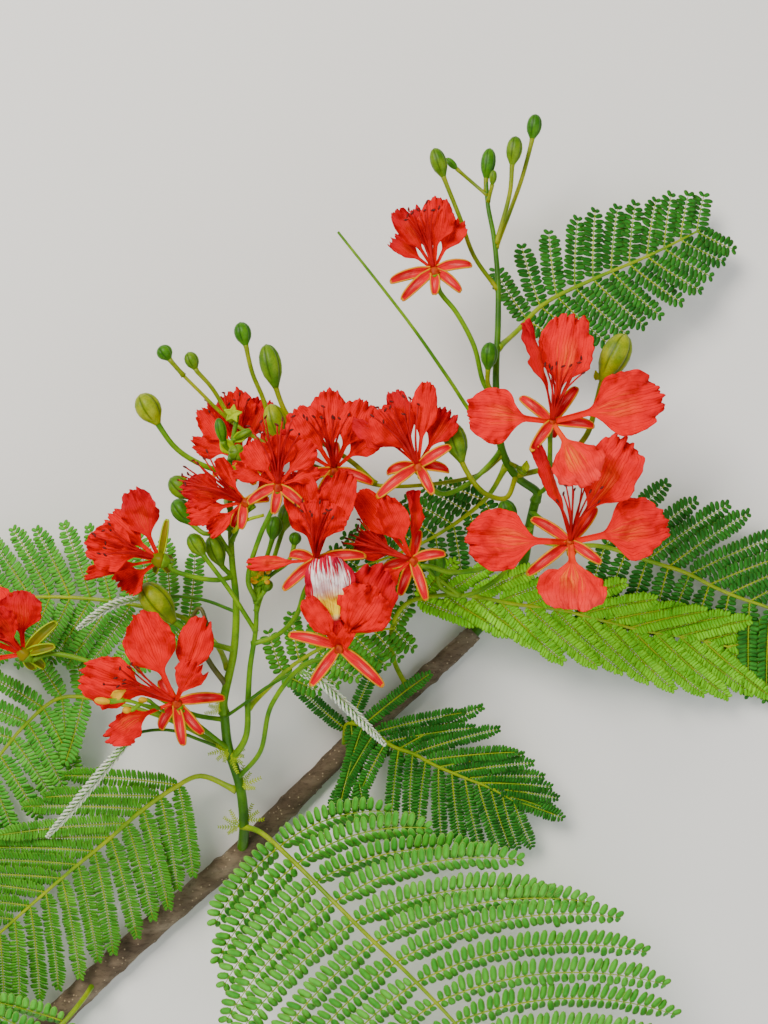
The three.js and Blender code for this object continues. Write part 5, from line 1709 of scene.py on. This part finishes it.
class SmallParts:
    """What sits among the blooms: bracts, a spray of yellow buds, late buds, a style, and stipules."""

    SCALES = (
        Scale((-76, 30, 77), 130, 12, 10, 7), Scale((-75, 36, 78), 25, 14, 10, 5),
        Scale((-73, 21, 80), 200, 10, 8, 6), Scale((70.5, 20.5, 80), 80, 10, 5.5, 3.5),
        Scale((106.5, 66, 93), 100, 20, 5, 2.5), Scale((-136, -93, 103), 30, 10, 8, 4.5, 1),
        *(Scale((-75.5, 49, 80), 72 * n + 10, 24, 5, 2.6) for n in range(5)),
        *(Scale((-62.5, -34, 87), 55 * n + 15, 30, 8 - abs(n - 1.5), 3.2, n % 2) for n in range(4)),
    )
    SPRAY: Rows = ((-97, -103, 76), (-106, -102, 79), (-113, -98, 92), (-122, -96, 100), (-130, -94, 103),
                   (-143, -94, 104))
    # for each bud the places of its stalk and itself, and its width in mm
    SPRAY_BUDS = ((((-113, -98, 92), (-118, -94, 96), (-123, -94, 98)), 3.2),
                  (((-122, -96, 100), (-126, -99, 102), (-131, -99, 103)), 3.4),
                  (((-130, -94, 103), (-136, -95, 104), (-145, -94, 104)), 3.6),
                  (((-63, -36, 86), (-60, -35, 88), (-57, -35, 89)), 2.6),
                  (((-62, -33, 87), (-59, -31, 89), (-57, -29, 90)), 2.4))
    LATE_BUDS = ((((72, -14, 40), (56, -34, 50), (38, -42, 56), (28, -37, 59), (26.5, -32, 61),
                   (26.5, -20, 65)), 9.5),
                 (((38, -42, 56), (28, -34, 60), (21, -28, 62), (16.5, -26, 63), (8.5, -27.5, 64)), 6),
                 (((73, -8, 46), (69, -11, 52), (64.5, -6.5, 58), (59.5, 6, 62)), 10))
    STYLE: Rows = ((-75.5, -10, 86), (-69.5, -4.5, 90), (-60, -1.5, 90))
    SEED = 5
    # for each stipule its place, its bearing in degrees, and its length in mm
    STIPULES = (((-72, -157, 24), 160, 12), ((-70, -154, 28), 40, 12), ((-72, -137, 44), 30, 12),
                ((-78, -118, 56), 205, 12), ((-77, -121, 54), 330, 11), ((-80, -99, 64), 140, 10))
    THREADS = (-38, -8, 22, 50)  # turns of a stipule's threads from its bearing, degrees
    THREAD = (0.6, 0.32)  # their diameters at foot and tip, mm

    @staticmethod
    def _tube(bm: bmesh.types.BMesh, rows: Rows, thick: float, slot: int) -> None:
        """Add a round stem through places."""
        spine = Spine(PAGE.route(rows))
        sweep(bm, spine.stations(2, 8), 10, lambda share, _turn: thick / 2 * (1 - 0.2 * share) * MM, slot)

    def _stipule(self, heap: Heap, place: Place, bearing: float, long: float, rng: random.Random) -> None:
        """Add a feathery stipule: threads with pairs of small lime leaflets.

        Args:
            heap: the pieces that it joins.
            place: its foot.
            bearing: its way across the page, in degrees.
            long: its length in mm.
            rng: gives its own irregularity.
        """
        for turn in self.THREADS:
            line = Bend(PAGE.seen(place), bearing + turn, 16, long * rng.uniform(0.6, 1), 40)
            frames = [line.at(n / 8) for n in range(9)]
            points = np.array([frame[0] for frame in frames])
            tube(heap, points, np.array(frames[0][2]), *self.THREAD, 0)
            for n in range(2, 9):
                at, side, over = (np.array(item) for item in frames[n])
                for hand in (1, -1):
                    out = np.cross(side, over) * 0.6 + side * (0.8 * hand)
                    heap.add(LEAFLET.place(at, out, np.cross(over, out), over,
                                           (2.4 - 0.14 * n) * rng.uniform(0.8, 1.1) * MM, 0.6 * MM),
                             LEAFLET.faces, 0)

    def build(self, finishes: Finishes) -> None:
        """Make the pieces."""
        bm = bmesh.new()
        for scale in self.SCALES:
            scale.build(bm)
        finish_piece("bracts", bm, [finishes.bract, finishes.yellow], wall=Wall(0.6, -1))
        bm = bmesh.new()
        self._tube(bm, self.SPRAY, 1.7, 0)
        self._tube(bm, self.STYLE, 2.2, 2)
        for buds, slot in ((self.SPRAY_BUDS, 1), (self.LATE_BUDS, 3)):
            for places, wide in buds:
                Bud(places, wide).build(bm, 0, slot)
        finish_piece("yellow_spray", bm,
                     [finishes.stalk, finishes.yellow, finishes.bract, finishes.buds[0]])
        rng = random.Random(self.SEED)
        heap = Heap()
        for place, bearing, long in self.STIPULES:
            self._stipule(heap, place, bearing, long, rng)
        finish_piece("stipules", heap, [finishes.bract])


@dataclass
class Studio:
    """The pale floor, the soft lights and the camera over the branch."""

    floor: float = 4.0  # side of the floor, m
    sensor: float = 36.0  # mm
    long_side: int = 1024
    mm_per_pixel: float = 0.5

    # for each lamp its place and side in metres, its power in watts, and its colour
    LAMPS = {
        "key": ((-0.7, 0.9, 1.5), 0.8, 40, "#FFF8EE"),
        "fill": ((1.1, -0.3, 1.3), 1.4, 9, "#F2F6FF"),
        "rim": ((0.2, -1.3, 0.8), 1.2, 8, "#FFFFFF"),
    }

    def camera(self) -> None:
        """Stand the camera where the photograph was taken from, looking straight down."""
        data = bpy.data.cameras.new("camera")
        data.sensor_width = self.sensor
        data.lens = self.sensor * (EYE - BLOOM_PLANE) / (self.long_side * self.mm_per_pixel)
        camera = stand("camera", data)
        camera.location = PAGE.eye()
        bpy.context.scene.camera = camera

    @staticmethod
    def light(name: str, place: tuple[float, float, float], size: float, power: float,
              warmth: str) -> None:
        """Add one soft light that points at the branch.

        Args:
            name: its name.
            place: where it stands, in metres.
            size: its side, in metres.
            power: its power, in watts.
            warmth: its colour.
        """
        data = bpy.data.lights.new(name, "AREA")
        data.size = size
        data.energy = power
        data.color = linear(warmth)[:3]
        lamp = stand(name, data)
        lamp.location = place
        lamp.rotation_euler = (-Vector(place)).to_track_quat("-Z", "Y").to_euler()

    def build(self) -> None:
        """Make the floor, the lights and the surroundings."""
        bm = bmesh.new()
        bmesh.ops.create_grid(bm, x_segments=1, y_segments=1, size=self.floor / 2)
        floor = stand("floor", to_mesh(bm, "floor"))
        paint = Skin("pale studio floor", Roughness=0.9, Base_Color=linear("#F1F0EC"))
        floor.data.materials.append(paint.material)
        for name, lamp in self.LAMPS.items():
            self.light(name, *lamp)
        world = bpy.data.worlds.new("studio")
        world.use_nodes = True
        sky = next(node for node in world.node_tree.nodes if node.type == "BACKGROUND")
        sky.inputs["Color"].default_value = linear("#F4F6F8")
        sky.inputs["Strength"].default_value = 0.42
        bpy.context.scene.world = world


def main() -> None:
    """Build the branch from its wood to its leaves, then the studio."""
    logging.basicConfig(level=logging.INFO, format="%(name)s: %(message)s")
    studio = Studio()
    studio.camera()
    finishes = Finishes()
    stems = Stems()
    crowd = Crowd(stems.limbs.values())
    wood, *green = stems.limbs.items()
    WoodyBranch(wood[1]).build(finishes)
    for name, limb in green:
        GreenLimb(name, limb).build(finishes)
    for part in (*BLOOMS, *YOUNG_LEAVES):
        part.build(finishes)
    for leaf in LEAVES:
        leaf.build(finishes, crowd)
    SmallParts().build(finishes)
    studio.build()


if __name__ == "__main__":
    main()
